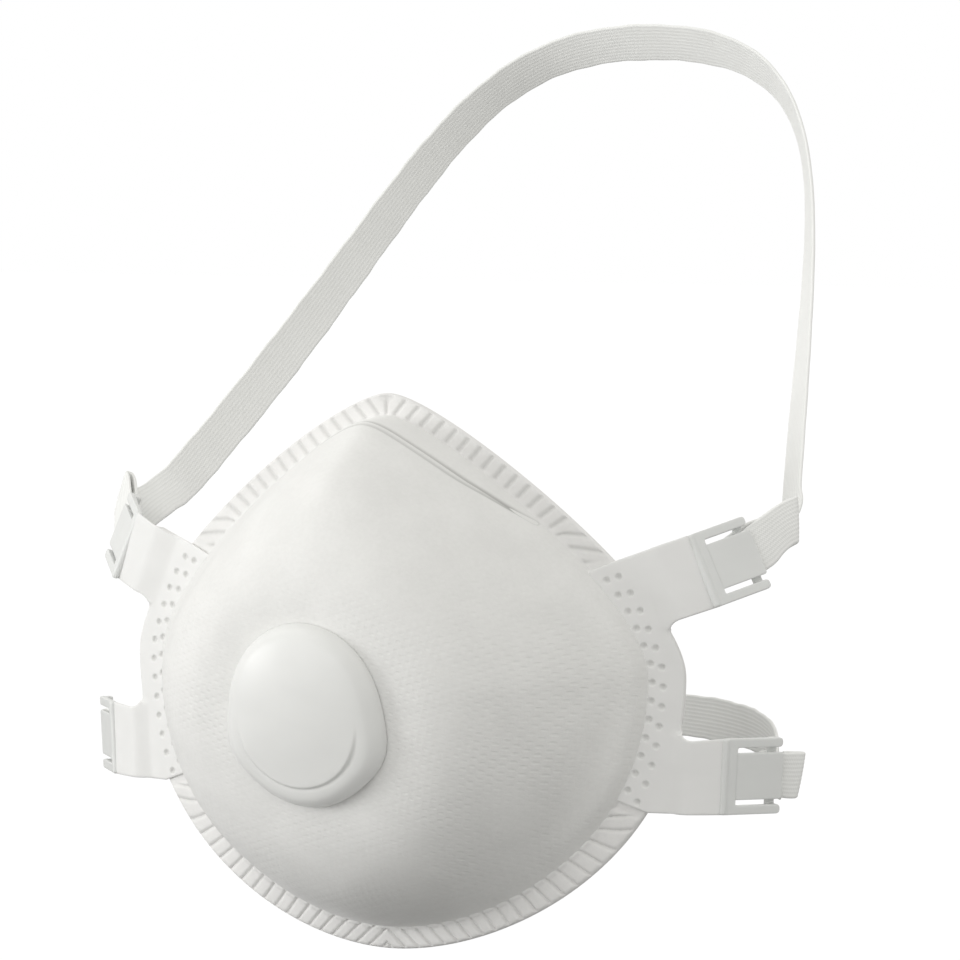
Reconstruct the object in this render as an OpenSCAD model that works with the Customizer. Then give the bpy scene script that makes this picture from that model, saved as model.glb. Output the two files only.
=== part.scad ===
/* [Brim] */
// Height of the brim from nose to chin
brim_h = 142; // [134:1:150]
// Width of the brim across the cheeks
brim_w = 154; // [148:1:160]
// Height of the widest point above mid height
cheek_z = 1; // [-1:0.5:3]
// Length of the outline curve's handle at the nose
nose_handle = 15; // [13:0.5:17]
// Length of the outline curve's handle above the cheek
cheek_up_handle = 23; // [20:0.5:27]
// Length of the outline curve's handle below the cheek
cheek_down_handle = 48; // [42:1:52]
// Length of the outline curve's handle at the chin
chin_handle = 30.5; // [28:0.5:36]
// Share of those handles that the cup's edge keeps inside the brim
edge_handle = 0.93; // [0.9:0.01:0.96]
// How far the cheeks lie behind the nose and the chin
saddle = 11; // [8:0.5:13]
// Width of the crimped brim at nose and chin
rib_band = 5.5; // [5:0.25:6.5]
// Width of the welded brim at the cheeks
cheek_band = 8; // [7:0.25:9]

/* [Cup] */
// Depth of the cup from the brim plane to the valve port
cup_depth = 44.5; // [40:0.5:48]
// Height of the valve port below mid height
port_drop = 5.5; // [3:0.5:8]
// Downward tilt of the valve port
port_tilt = 8; // [4:1:12]
// Radius of the flat patch round the valve port
flat_r = 23; // [22.5:0.5:24]
// Wall angle to the cup's axis at the nose
wall_nose = 2; // [0:1:8]
// Wall angle to the cup's axis at the cheeks
wall_cheek = 36; // [28:1:40]
// Wall angle to the cup's axis at the chin
wall_chin = 22; // [18:1:28]

/* [Web layers] */
// Thickness of the outer cover web
cover_t = 0.5; // [0.4:0.1:0.7]
// Thickness of the stiff support shell
shell_t = 0.9; // [0.7:0.1:1.1]
// Thickness of the coarse filter web
coarse_t = 1.2; // [0.9:0.1:1.4]
// Thickness of the fine filter web
fine_t = 0.6; // [0.4:0.1:0.8]
// Thickness of the inner lining
lining_t = 0.5; // [0.4:0.1:0.7]
// Thickness of one web where the brim is crimped
crimp_t = 0.35; // [0.3:0.05:0.45]
// Gap kept between neighbouring webs
web_gap = 0.1; // [0.08:0.01:0.15]

/* [Strap carriers] */
// Thickness of the side carriers
wing_t = 0.8; // [0.6:0.1:1]
// Width of the tabs and buckles
tab_w = 19.3; // [18.5:0.1:20]
// Length of the upper tabs from the brim
upper_tab_l = 16; // [14:0.5:18]
// Upward slope of the upper tabs
upper_tab_tilt = 24; // [18:1:30]
// Length of the lower tabs from the brim
lower_tab_l = 14; // [12:0.5:16]
// Upward slope of the lower tabs
lower_tab_tilt = -3; // [-8:1:4]
// Angle by which the buckles are swept back
buckle_fold = 50; // [40:1:58]

/* [Buckles] */
// Length of a buckle from its hinge ridge
buckle_l = 16; // [15:0.5:18]
// Thickness of the buckle rails
buckle_t = 1.3; // [1.1:0.1:1.5]
// Width of a buckle rail
rail_w = 2.4; // [2:0.1:2.8]
// Width of the slot between rail and tongue
slot_w = 1.3; // [1.1:0.1:1.6]
// Thickness of the clamp tongue
tongue_t = 0.9; // [0.7:0.1:1.1]

/* [Straps] */
// Width of the elastic bands
strap_w = 11.4; // [10:0.1:11.6]
// Thickness of the elastic bands
strap_t = 1; // [0.8:0.1:1.1]
// Height of the head strap's crown
head_top_z = 161; // [140:1:175]
// Distance of the head strap's crown behind the brim
head_top_y = 172; // [150:1:185]
// Distance of the neck strap's middle behind the brim
neck_mid_y = 108; // [95:1:120]
// Height of the neck strap's middle
neck_mid_z = -21; // [-30:1:-12]

/* [Valve] */
// Radius of the port through the webs
port_r = 15.6; // [15.4:0.1:16]
// Radius of the valve seat's bore
seat_bore_r = 12.5; // [12:0.1:13]
// Radius of the valve flap
flap_r = 13.2; // [13:0.1:13.4]
// Thickness of the valve flap
flap_t = 0.5; // [0.4:0.1:0.6]
// Height of the valve cover's face above the port plane
cover_h = 9; // [8.5:0.5:10]
// Wall thickness of the valve cover
cover_wall = 1.1; // [0.9:0.1:1.3]
// Radius of the raised disc on the valve cover
disc_r = 16; // [15:0.5:17]

/* [Nose clip] */
// Share of its pocket's width that the nose clip fills
clip_share = 0.7; // [0.5:0.05:0.75]
// Thickness of the nose clip
clip_t = 0.8; // [0.6:0.1:1]

/* [Hidden] */

// Cup geometry: x is sideways, -y is forward, z is up; the origin is the middle of the brim plane
half_w = brim_w / 2;
half_h = brim_h / 2;
saddle_r = (half_w * half_w + saddle * saddle) / (2 * saddle);
around = 56;
half_around = around / 2;
dome_rows = 8;
brim_row = dome_rows + 1;
last_row = dome_rows + 2;
focus = [0, 6, -3];
face_pull_nose = 0.35;
face_pull_cheek = 0.4;
face_pull_chin = 0.45;
wall_pull = 0.5;
crimp_start = 0.875;

function smooth(u) = u * u * (3 - 2 * u);
function clamp01(u) = min(1, max(0, u));
function mix(a, b, u) = a * (1 - u) + b * u;
function unit(v) = v / norm(v);
function bez(a, b, c, d, t) =
    pow(1 - t, 3) * a + 3 * pow(1 - t, 2) * t * b + 3 * (1 - t) * t * t * c + pow(t, 3) * d;
function bez_dir(a, b, c, d, t) =
    pow(1 - t, 2) * (b - a) + 2 * (1 - t) * t * (c - b) + t * t * (d - c);

// s runs from 0 at the nose, through 0.5 at the cheek, to 1 at the chin;
// inset 0 is the brim's outer edge and inset 1 is the cup's edge inside the brim
function handle_share(inset) = mix(1, edge_handle, inset);
function edge_w(inset) = half_w - inset * cheek_band;
function edge_h(inset) = half_h - inset * rib_band;
function upper_curve(inset) = [
    [0, edge_h(inset)],
    [nose_handle * handle_share(inset), edge_h(inset)],
    [edge_w(inset), cheek_z + cheek_up_handle * handle_share(inset)],
    [edge_w(inset), cheek_z]
];
function lower_curve(inset) = [
    [edge_w(inset), cheek_z],
    [edge_w(inset), cheek_z - cheek_down_handle * handle_share(inset)],
    [chin_handle * handle_share(inset), -edge_h(inset)],
    [0, -edge_h(inset)]
];
function curve_of(s, inset) = s < 0.5 ? upper_curve(inset) : lower_curve(inset);
function curve_t(s) = s < 0.5 ? 2 * s : 2 * s - 1;
function edge_at(s, inset) =
    let (c = curve_of(s, inset)) bez(c[0], c[1], c[2], c[3], curve_t(s));
function outline(s) = edge_at(s, 0);
function dome_edge(s) = edge_at(s, 1);
function outward(s) =
    let (c = curve_of(s, 1), d = unit(bez_dir(c[0], c[1], c[2], c[3], curve_t(s)))) [-d[1], d[0]];
function by_side(nose, cheek, chin, s) =
    s < 0.5 ? mix(nose, cheek, smooth(2 * s)) : mix(cheek, chin, smooth(2 * s - 1));
function sag(x) = saddle_r - sqrt(saddle_r * saddle_r - x * x);
function on_brim(p) = [p[0], sag(p[0]), p[1]];

// Valve port plane
port_center = [0, -cup_depth, -port_drop];
port_up = [0, -sin(port_tilt), cos(port_tilt)];
port_out = [0, -cos(port_tilt), -sin(port_tilt)];
function port_angle(s) = let (e = dome_edge(s)) atan2(e[0], e[1] + port_drop);
function port_spoke(s) = sin(port_angle(s)) * [1, 0, 0] + cos(port_angle(s)) * port_up;
module at_port() {
    translate(port_center)
        rotate([90 + port_tilt, 0, 0])
            children();
}

// Outer face of the cup: v runs from 0 at the flat patch round the port to 1 at the brim
function dome(s, v) =
    let (edge = on_brim(dome_edge(s)))
    let (patch = port_center + flat_r * port_spoke(s))
    let (wall = by_side(wall_nose, wall_cheek, wall_chin, s))
    let (inward = -outward(s))
    let (wall_dir = [inward[0] * sin(wall), -cos(wall), inward[1] * sin(wall)])
    let (pull = by_side(face_pull_nose, face_pull_cheek, face_pull_chin, s) * norm(edge - patch))
    let (lift = wall_pull * (edge[1] - patch[1]))
    bez(patch, patch + pull * port_spoke(s), edge + lift * wall_dir, edge, v);

// Pocket for the nose clip, which pushes the webs behind the cover inwards near the nose
clip_gap = 0.2;
pocket_deep = clip_t + 2 * clip_gap;
pocket_end = 0.36;
pocket_fade = 0.08;
pocket_v = 0.81;
pocket_half_v = 0.2;
function pocket(s, v) =
    pocket_deep * smooth(clamp01((pocket_end - s) / pocket_fade))
    * smooth(clamp01(2 - 2 * abs(v - pocket_v) / pocket_half_v));

// One point of a web face: o is its depth in the dome, b its depth in the brim
function web_half(s, row, edge_r, o, b, pocketed) =
    row == 0 ? port_center + edge_r * port_spoke(s) - o * port_out
    : row == 1 ? port_center + flat_r * port_spoke(s) - o * port_out
    : row == brim_row ? on_brim(dome_edge(s)) + [0, b, 0]
    : row == last_row ? on_brim(outline(s)) + [0, b, 0]
    : let (v = (row - 1) / dome_rows)
      let (p = dome(s, v))
      let (k = smooth(clamp01((v - crimp_start) / (1 - crimp_start))))
      let (deep = mix(o + (pocketed ? pocket(s, v) : 0), b, k))
      p + deep * unit(mix(unit(focus - p), [0, 1, 0], k));
function side_of(i) = i <= half_around ? 1 : -1;
function turn_of(i) = i <= half_around ? i / half_around : (around - i) / half_around;
function mirror_if(p, side) = [side * p[0], p[1], p[2]];
function web_point(i, row, edge_r, o, b, pocketed) =
    mirror_if(web_half(turn_of(i), row, edge_r, o, b, pocketed), side_of(i));

// Solid between two grids of rings: front[row][i] and back[row][i], closed round i.
// With tips, one for each grid, the first ring is closed by fans and not by a rim.
module ring_solid(front, back, tips = []) {
    rows = len(front);
    n = len(front[0]);
    tip_id = 2 * rows * n;
    capped = len(tips) == 2;
    all_points = concat([for (grid = [front, back]) for (ring = grid) for (p = ring) p], tips);
    function id(side, row, i) = (side * rows + row) * n + i % n;
    skin = [
        for (row = [0:rows - 2]) for (i = [0:n - 1]) each [
            [id(0, row, i), id(0, row + 1, i), id(0, row, i + 1)],
            [id(0, row, i + 1), id(0, row + 1, i), id(0, row + 1, i + 1)],
            [id(1, row, i), id(1, row, i + 1), id(1, row + 1, i)],
            [id(1, row, i + 1), id(1, row + 1, i + 1), id(1, row + 1, i)]
        ]
    ];
    first_rim = capped ? [
        for (i = [0:n - 1]) each [
            [tip_id, id(0, 0, i), id(0, 0, i + 1)],
            [tip_id + 1, id(1, 0, i + 1), id(1, 0, i)]
        ]
    ] : [
        for (i = [0:n - 1]) each [
            [id(0, 0, i), id(0, 0, i + 1), id(1, 0, i)],
            [id(0, 0, i + 1), id(1, 0, i + 1), id(1, 0, i)]
        ]
    ];
    last_rim = [
        for (i = [0:n - 1]) each [
            [id(0, rows - 1, i), id(1, rows - 1, i), id(0, rows - 1, i + 1)],
            [id(0, rows - 1, i + 1), id(1, rows - 1, i), id(1, rows - 1, i + 1)]
        ]
    ];
    polyhedron(all_points, concat(skin, first_rim, last_rim));
}

// Solid between two open grids of the same shape: front[k][j] and back[k][j]
module patch_solid(front, back) {
    rows = len(front);
    n = len(front[0]);
    all_points = [for (grid = [front, back]) for (line = grid) for (p = line) p];
    function id(side, row, i) = (side * rows + row) * n + i;
    skin = [
        for (row = [0:rows - 2]) for (i = [0:n - 2]) each [
            [id(0, row, i), id(0, row + 1, i), id(0, row, i + 1)],
            [id(0, row, i + 1), id(0, row + 1, i), id(0, row + 1, i + 1)],
            [id(1, row, i), id(1, row, i + 1), id(1, row + 1, i)],
            [id(1, row, i + 1), id(1, row + 1, i + 1), id(1, row + 1, i)]
        ]
    ];
    ends = [
        for (i = [0:n - 2]) each [
            [id(0, 0, i), id(0, 0, i + 1), id(1, 0, i)],
            [id(0, 0, i + 1), id(1, 0, i + 1), id(1, 0, i)],
            [id(0, rows - 1, i), id(1, rows - 1, i), id(0, rows - 1, i + 1)],
            [id(0, rows - 1, i + 1), id(1, rows - 1, i), id(1, rows - 1, i + 1)]
        ]
    ];
    sides = [
        for (row = [0:rows - 2]) each [
            [id(0, row, 0), id(1, row, 0), id(0, row + 1, 0)],
            [id(0, row + 1, 0), id(1, row, 0), id(1, row + 1, 0)],
            [id(0, row, n - 1), id(0, row + 1, n - 1), id(1, row, n - 1)],
            [id(0, row + 1, n - 1), id(1, row + 1, n - 1), id(1, row, n - 1)]
        ]
    ];
    polyhedron(all_points, concat(skin, ends, sides));
}

// One web of the cup, from depth o to o + t in the dome
module web(o, t, b, pocketed) {
    ring_solid(
        [for (row = [0:last_row]) [for (i = [0:around - 1])
            web_point(i, row, port_r, o, b, pocketed)]],
        [for (row = [0:last_row]) [for (i = [0:around - 1])
            web_point(i, row, port_r, o + t, b + crimp_t, pocketed)]]
    );
}

crimp_step = crimp_t + web_gap;
shell_o = cover_t + web_gap;
coarse_o = shell_o + shell_t + web_gap;
fine_o = coarse_o + coarse_t + web_gap;
lining_o = fine_o + fine_t + web_gap;
stack_o = lining_o + lining_t;

module outer_cover() {
    color("whitesmoke") web(0, cover_t, 0, false);
}
module support_shell() {
    color("gainsboro") web(shell_o, shell_t, crimp_step, true);
}
module coarse_filter() {
    color("aliceblue") web(coarse_o, coarse_t, 2 * crimp_step, true);
}
module fine_filter() {
    color("lavender") web(fine_o, fine_t, 3 * crimp_step, true);
}
module inner_lining() {
    color("white") web(lining_o, lining_t, 4 * crimp_step, true);
}

// Nose clip: a bent strip in the pocket between the cover and the support shell
clip_steps = 8;
clip_row = 7;
clip_low = (1 - clip_share) / 2;
clip_high = (1 + clip_share) / 2;
clip_o = cover_t + clip_gap;
function signed_half(i, p) = mirror_if(p, i < 0 ? -1 : 1);
function strip_point(i, row, f, o, b, pocketed) =
    let (s = abs(i) / half_around)
    signed_half(i, mix(web_half(s, row, port_r, o, b, pocketed),
                       web_half(s, row + 1, port_r, o, b, pocketed), f));
module nose_clip() {
    color("silver")
        patch_solid(
            [for (f = [clip_low, clip_high]) [for (i = [-clip_steps:clip_steps])
                strip_point(i, clip_row, f, clip_o, 0, false)]],
            [for (f = [clip_low, clip_high]) [for (i = [-clip_steps:clip_steps])
                strip_point(i, clip_row, f, clip_o + clip_t, 0, false)]]
        );
}

// Nose foam: a soft pad on the lining, just inside the brim
foam_steps = 8;
foam_row = 8;
foam_t = 3;
foam_low = 0.1;
foam_high = 0.9;
module nose_foam() {
    foam_o = stack_o + web_gap;
    brim_o = 4 * crimp_step + crimp_t + web_gap;
    color("dimgray")
        patch_solid(
            [for (f = [foam_low, foam_high]) [for (i = [-foam_steps:foam_steps])
                strip_point(i, foam_row, f, foam_o, brim_o, true)]],
            [for (f = [foam_low, foam_high]) [for (i = [-foam_steps:foam_steps])
                strip_point(i, foam_row, f, foam_o + foam_t, brim_o + foam_t, true)]]
        );
}

// Side carriers: cylindrical sheets on the cheek brim, each with two tabs
wing_gap = 0.1;
wing_top_s = 0.33;
wing_bottom_s = 0.635;
wing_steps = 14;
wing_edge = 0.4;
wing_inset = 0.6;
fillet_l = 4;
fillet_s = 0.02;
fillet_steps = 5;
upper_corner_s = 0.417;
lower_corner_s = 0.555;
upper_root = outline(0.375);
lower_root = outline(0.59);
function tab_root(level) = level == "upper" ? upper_root : lower_root;
function tab_length(level) = level == "upper" ? upper_tab_l : lower_tab_l;
function tab_tilt(level) = level == "upper" ? upper_tab_tilt : lower_tab_tilt;
function tab_along(level) = [cos(tab_tilt(level)), sin(tab_tilt(level))];
function tab_across(level) = [-sin(tab_tilt(level)), cos(tab_tilt(level))];
function ridge_xz(level) = tab_root(level) + tab_length(level) * tab_along(level);
function tab_corner(level, e) = ridge_xz(level) + e * tab_w / 2 * tab_across(level);
function wing_rim(s) = outline(s) + wing_edge * outward(s);
function fillet(from, corner, to) = [
    for (k = [0:fillet_steps])
        let (t = k / fillet_steps)
        (1 - t) * (1 - t) * from + 2 * t * (1 - t) * corner + t * t * to
];
function steps_between(a, b) = [for (k = [0:wing_steps]) mix(a, b, k / wing_steps)];
module wing_outline() {
    upper_corner = wing_rim(upper_corner_s);
    lower_corner = wing_rim(lower_corner_s);
    polygon(concat(
        [tab_corner("upper", 1), tab_corner("upper", -1)],
        fillet(upper_corner + fillet_l * tab_along("upper"), upper_corner,
               wing_rim(upper_corner_s + fillet_s)),
        [for (s = steps_between(upper_corner_s + 1.5 * fillet_s, lower_corner_s - 1.5 * fillet_s))
            wing_rim(s)],
        fillet(wing_rim(lower_corner_s - fillet_s), lower_corner,
               lower_corner + fillet_l * tab_along("lower")),
        [tab_corner("lower", 1), tab_corner("lower", -1), wing_rim(wing_bottom_s)],
        [for (s = steps_between(wing_bottom_s, wing_top_s))
            dome_edge(s) + wing_inset * outward(s)],
        [wing_rim(wing_top_s)]
    ));
}
module wing() {
    inner_r = saddle_r + wing_gap;
    intersection() {
        rotate([90, 0, 0])
            translate([0, 0, -half_w])
                linear_extrude(brim_w)
                    wing_outline();
        translate([0, saddle_r, 0])
            difference() {
                cylinder(r = inner_r + wing_t, h = brim_h, center = true, $fn = 360);
                cylinder(r = inner_r, h = brim_h + 2, center = true, $fn = 360);
            }
    }
}
module wing_right() {
    color("gainsboro") wing();
}
module wing_left() {
    color("gainsboro") mirror([1, 0, 0]) wing();
}

// Buckle frame: x runs outwards from the hinge ridge, y along the ridge, z to the front
function ridge_point(level) =
    let (p = ridge_xz(level)) [p[0], sag(p[0]) - wing_gap - wing_t / 2, p[1]];
module at_ridge(level) {
    translate(ridge_point(level))
        rotate([90, 0, 0])
            rotate([0, 0, tab_tilt(level)])
                rotate([0, buckle_fold, 0])
                    children();
}
function from_ridge(level, p) =
    let (a = tab_tilt(level), b = buckle_fold)
    ridge_point(level)
    + p[0] * [cos(b) * cos(a), sin(b), cos(b) * sin(a)]
    + p[1] * [-sin(a), 0, cos(a)]
    + p[2] * [sin(b) * cos(a), -cos(b), sin(b) * sin(a)];
module on_side(side) {
    mirror([side < 0 ? 1 : 0, 0, 0])
        children();
}
ridge_r = 1;
base_l = 3.3;
tongue_gap = 0.2;
tongue_w = tab_w - 2 * (rail_w + slot_w);
tongue_over = 0.3;
strap_z = -1.05;
bar_l = 2;
bar_t = 0.8;
bar_top = strap_z - strap_t / 2 - 0.15;
tongue_top = 0.55;
module rail(side) {
    end_r = rail_w / 2;
    rail_y = side * (tab_w - rail_w) / 2;
    translate([0, rail_y - end_r, -buckle_t / 2])
        cube([buckle_l - end_r, rail_w, buckle_t]);
    translate([buckle_l - end_r, rail_y, -buckle_t / 2])
        cylinder(r = end_r, h = buckle_t, $fn = 32);
    translate([buckle_l - end_r - bar_l, rail_y - end_r, bar_top - bar_t])
        cube([bar_l, rail_w, -bar_top + bar_t]);
}
module buckle(level) {
    at_ridge(level) {
        rotate([90, 0, 0])
            cylinder(r = ridge_r, h = tab_w, center = true, $fn = 32);
        translate([0, -tab_w / 2, -buckle_t / 2])
            cube([base_l, tab_w, buckle_t]);
        rail(1);
        rail(-1);
        translate([buckle_l - rail_w / 2 - bar_l, -tab_w / 2, bar_top - bar_t])
            cube([bar_l, tab_w, bar_t]);
    }
}
module tongue(level) {
    at_ridge(level)
        translate([base_l + tongue_gap, -tongue_w / 2, tongue_top - tongue_t])
            cube([buckle_l + tongue_over - base_l - tongue_gap, tongue_w, tongue_t]);
}
module buckle_upper_right() {
    color("lightsteelblue") on_side(1) buckle("upper");
}
module buckle_upper_left() {
    color("lightsteelblue") on_side(-1) buckle("upper");
}
module buckle_lower_right() {
    color("lightsteelblue") on_side(1) buckle("lower");
}
module buckle_lower_left() {
    color("lightsteelblue") on_side(-1) buckle("lower");
}
module tongue_upper_right() {
    color("lightgray") on_side(1) tongue("upper");
}
module tongue_upper_left() {
    color("lightgray") on_side(-1) tongue("upper");
}
module tongue_lower_right() {
    color("lightgray") on_side(1) tongue("lower");
}
module tongue_lower_left() {
    color("lightgray") on_side(-1) tongue("lower");
}

// Elastic bands: ribbons along a centre line, with a width direction at each point
head_base = [88, 55.6, 43];
head_lean = [-29.5, 92, 75];
head_crown_handle = 61;
head_leg_across = [0.6, -0.78, 0.15];
head_crown_across = [0, -0.5, 0.86];
neck_base = [90, 42, -26];
neck_lean = [-7.3, 22.6, 8.2];
neck_crown_handle = 59;
neck_leg_across = [-0.1, 0, 1];
neck_crown_across = [0, 0, 1];
band_steps = 18;
end_steps = 10;
neck_down_w = 1.6;
neck_down_l = 8;
swing_gap = 1.2;

function across_of(want, dir) = unit(want - (want * dir) * dir);
module ribbon(path, wants, widths) {
    n = len(path);
    dirs = [for (k = [0:n - 1]) unit(path[min(k + 1, n - 1)] - path[max(k - 1, 0)])];
    sides = [for (k = [0:n - 1]) across_of(wants[k], dirs[k])];
    faces_up = [for (k = [0:n - 1]) cross(dirs[k], sides[k])];
    patch_solid(
        [for (e = [-0.5, 0.5]) [for (k = [0:n - 1])
            path[k] + e * widths[k] * sides[k] + strap_t / 2 * faces_up[k]]],
        [for (e = [-0.5, 0.5]) [for (k = [0:n - 1])
            path[k] + e * widths[k] * sides[k] - strap_t / 2 * faces_up[k]]]
    );
}
function arch_half(base, lean, crown, handle, t) =
    bez(base, base + lean, crown + [handle, 0, 0], crown, t);
function band_width_at(distance) =
    mix(neck_down_w, strap_w, smooth(clamp01(distance / neck_down_l)));
module arch(base, lean, crown, handle, leg_across, crown_across) {
    t0 = (swing_gap / 2) / (3 * norm(lean));
    ts = [for (k = [0:band_steps]) mix(t0, 1, pow(k / band_steps, 1.3))];
    half = [for (t = ts) arch_half(base, lean, crown, handle, t)];
    wants = [for (t = ts) mix(leg_across, crown_across, smooth(t))];
    widths = [for (p = half) band_width_at(norm(p - base) - swing_gap / 2)];
    back = [for (k = [band_steps - 1:-1:0]) k];
    ribbon(
        concat(half, [for (k = back) mirror_if(half[k], -1)]),
        concat(wants, [for (k = back) [-wants[k][0], wants[k][1], wants[k][2]]]),
        concat(widths, [for (k = back) widths[k]])
    );
}
tail_x = 5;
leave_x = 14;
module strap_end(level, base, lean, leg_across) {
    start = from_ridge(level, [tail_x, 0, strap_z]);
    leave = from_ridge(level, [leave_x, 0, strap_z]);
    pull = norm(base - leave) / 3;
    out_dir = unit(leave - start);
    stop_t = 1 - (swing_gap / 2) / (3 * pull);
    tilt = tab_tilt(level);
    buckle_across = [-sin(tilt), 0, cos(tilt)];
    ts = [for (k = [0:end_steps]) stop_t * k / end_steps];
    free = [for (t = ts) bez(leave, leave + pull * out_dir, base - pull * unit(lean), base, t)];
    ribbon(
        concat([start], free),
        concat([buckle_across], [for (t = ts) mix(buckle_across, leg_across, smooth(t))]),
        concat([strap_w], [for (p = free) band_width_at(norm(p - base) - swing_gap / 2)])
    );
}
head_crown = [0, head_top_y, head_top_z];
neck_crown = [0, neck_mid_y, neck_mid_z];
module head_strap() {
    color("whitesmoke")
        arch(head_base, head_lean, head_crown, head_crown_handle,
             head_leg_across, head_crown_across);
}
module neck_strap() {
    color("whitesmoke")
        arch(neck_base, neck_lean, neck_crown, neck_crown_handle,
             neck_leg_across, neck_crown_across);
}
module head_strap_end_right() {
    color("whitesmoke") on_side(1) strap_end("upper", head_base, head_lean, head_leg_across);
}
module head_strap_end_left() {
    color("whitesmoke") on_side(-1) strap_end("upper", head_base, head_lean, head_leg_across);
}
module neck_strap_end_right() {
    color("whitesmoke") on_side(1) strap_end("lower", neck_base, neck_lean, neck_leg_across);
}
module neck_strap_end_left() {
    color("whitesmoke") on_side(-1) strap_end("lower", neck_base, neck_lean, neck_leg_across);
}

// Valve: in the port frame x is sideways, y is up and z points out of the cup
seat_low = 0.1;
seat_plate_t = 1.15;
seat_plate_r = 17.6;
seat_tube_r = port_r - 0.3;
seat_depth = 5.4;
lip_h = 0.35;
lip_w = 0.6;
spoke_w = 1.6;
spoke_t = 1.6;
flap_gap = 0.15;
flap_low = seat_low + seat_plate_t + lip_h + flap_gap;
keeper_low = flap_low + flap_t + 0.4;
keeper_t = 0.75;
keeper_y = 11.3;
keeper_l = 2.4;
keeper_half = 9.4;
keeper_post = 1.2;
module valve_seat() {
    color("white")
        at_port() {
            difference() {
                union() {
                    translate([0, 0, seat_low])
                        cylinder(r = seat_plate_r, h = seat_plate_t, $fn = 96);
                    translate([0, 0, -seat_depth])
                        cylinder(r = seat_tube_r, h = seat_depth + 0.5, $fn = 96);
                }
                translate([0, 0, -seat_depth - 1])
                    cylinder(r = seat_bore_r, h = seat_depth + seat_plate_t + 2, $fn = 96);
            }
            translate([0, 0, seat_low + seat_plate_t - 0.01])
                difference() {
                    cylinder(r = seat_bore_r + lip_w, h = lip_h + 0.01, $fn = 96);
                    translate([0, 0, -1])
                        cylinder(r = seat_bore_r, h = lip_h + 2, $fn = 96);
                }
            for (a = [0, 60, 120])
                rotate(a)
                    translate([-seat_bore_r - 1, -spoke_w / 2, seat_low + seat_plate_t - spoke_t])
                        cube([2 * seat_bore_r + 2, spoke_w, spoke_t]);
            translate([-keeper_half, keeper_y, keeper_low])
                cube([2 * keeper_half, keeper_l, keeper_t]);
            for (side = [-1, 1])
                translate([side * (keeper_half - keeper_post / 2) - keeper_post / 2, keeper_y,
                           seat_low + seat_plate_t - 0.01])
                    cube([keeper_post, keeper_l, keeper_low - seat_low - seat_plate_t + 0.02]);
        }
}
module valve_ring() {
    ring_r = 19.5;
    ring_bore = seat_tube_r + 0.15;
    color("white")
        at_port()
            translate([0, 0, -seat_depth])
                difference() {
                    cylinder(r = ring_r, h = seat_depth - stack_o - 0.1, $fn = 96);
                    translate([0, 0, -1])
                        cylinder(r = ring_bore, h = seat_depth, $fn = 96);
                }
}
module valve_flap() {
    color("ivory")
        at_port()
            translate([0, 0, flap_low])
                cylinder(r = flap_r, h = flap_t, $fn = 96);
}

// Valve cover: rings of points round the port, a is 0 at the top and 180 at the chin side
cover_mean = 21.9;
cover_stretch = 1.3;
cover_corner = 1.6;
corner_at = 115;
corner_spread = 22;
disc_drop = 1;
cover_sides = 48;
vent_lift = 1.3;
vent_half = 52;
function cover_r(a) =
    cover_mean + cover_stretch * cos(2 * a)
    + cover_corner * exp(-pow((min(a, 360 - a) - corner_at) / corner_spread, 2));
function disc_edge(a) =
    -disc_drop * cos(a) + sqrt(pow(disc_r, 2) - pow(disc_drop * sin(a), 2));
function vent(a) = vent_lift * smooth(clamp01((vent_half - abs(a - 180)) / 12));
function cover_ring(row, a) =
    row == 0 ? [cover_r(a), 0.15 + vent(a)]
    : row == 1 ? [cover_r(a) - 0.3, 0.36 * cover_h]
    : row == 2 ? [cover_r(a) - 1.2, 0.56 * cover_h]
    : row == 3 ? [cover_r(a) - 2.8, 0.66 * cover_h]
    : row == 4 ? [disc_edge(a), 0.78 * cover_h]
    : row == 5 ? [0.75 * disc_edge(a), 0.9 * cover_h]
    : row == 6 ? [0.45 * disc_edge(a), 0.97 * cover_h]
    : [0.2 * disc_edge(a), 0.99 * cover_h];
cover_rows = 7;
function cover_point(row, k, wall) =
    let (a = 360 * k / cover_sides)
    let (q = cover_ring(row, a))
    let (r = row < 4 ? q[0] - wall : q[0])
    let (z = row == 0 ? q[1] : q[1] - wall)
    [r * sin(a), r * cos(a), z];
module valve_cover() {
    color("gainsboro")
        at_port()
            ring_solid(
                [for (row = [cover_rows:-1:0]) [for (k = [0:cover_sides - 1])
                    cover_point(row, k, 0)]],
                [for (row = [cover_rows:-1:0]) [for (k = [0:cover_sides - 1])
                    cover_point(row, k, cover_wall)]],
                [[0, 0, cover_h], [0, 0, cover_h - cover_wall]]
            );
}

outer_cover();
support_shell();
coarse_filter();
fine_filter();
inner_lining();
nose_clip();
nose_foam();
wing_right();
wing_left();
buckle_upper_right();
buckle_upper_left();
buckle_lower_right();
buckle_lower_left();
tongue_upper_right();
tongue_upper_left();
tongue_lower_right();
tongue_lower_left();
head_strap();
head_strap_end_right();
head_strap_end_left();
neck_strap();
neck_strap_end_right();
neck_strap_end_left();
valve_seat();
valve_ring();
valve_flap();
valve_cover();
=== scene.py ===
"""Disposable dust mask: the looks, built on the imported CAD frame.

Shapes are computed in millimetres and stored in metres. x is sideways, -y is forward, z is up.
s runs from 0 at the nose, through 0.5 at the cheek, to 1 at the chin."""
import math
import bmesh
import bpy
import numpy as np
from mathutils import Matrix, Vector
from mathutils.geometry import delaunay_2d_cdt


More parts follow.
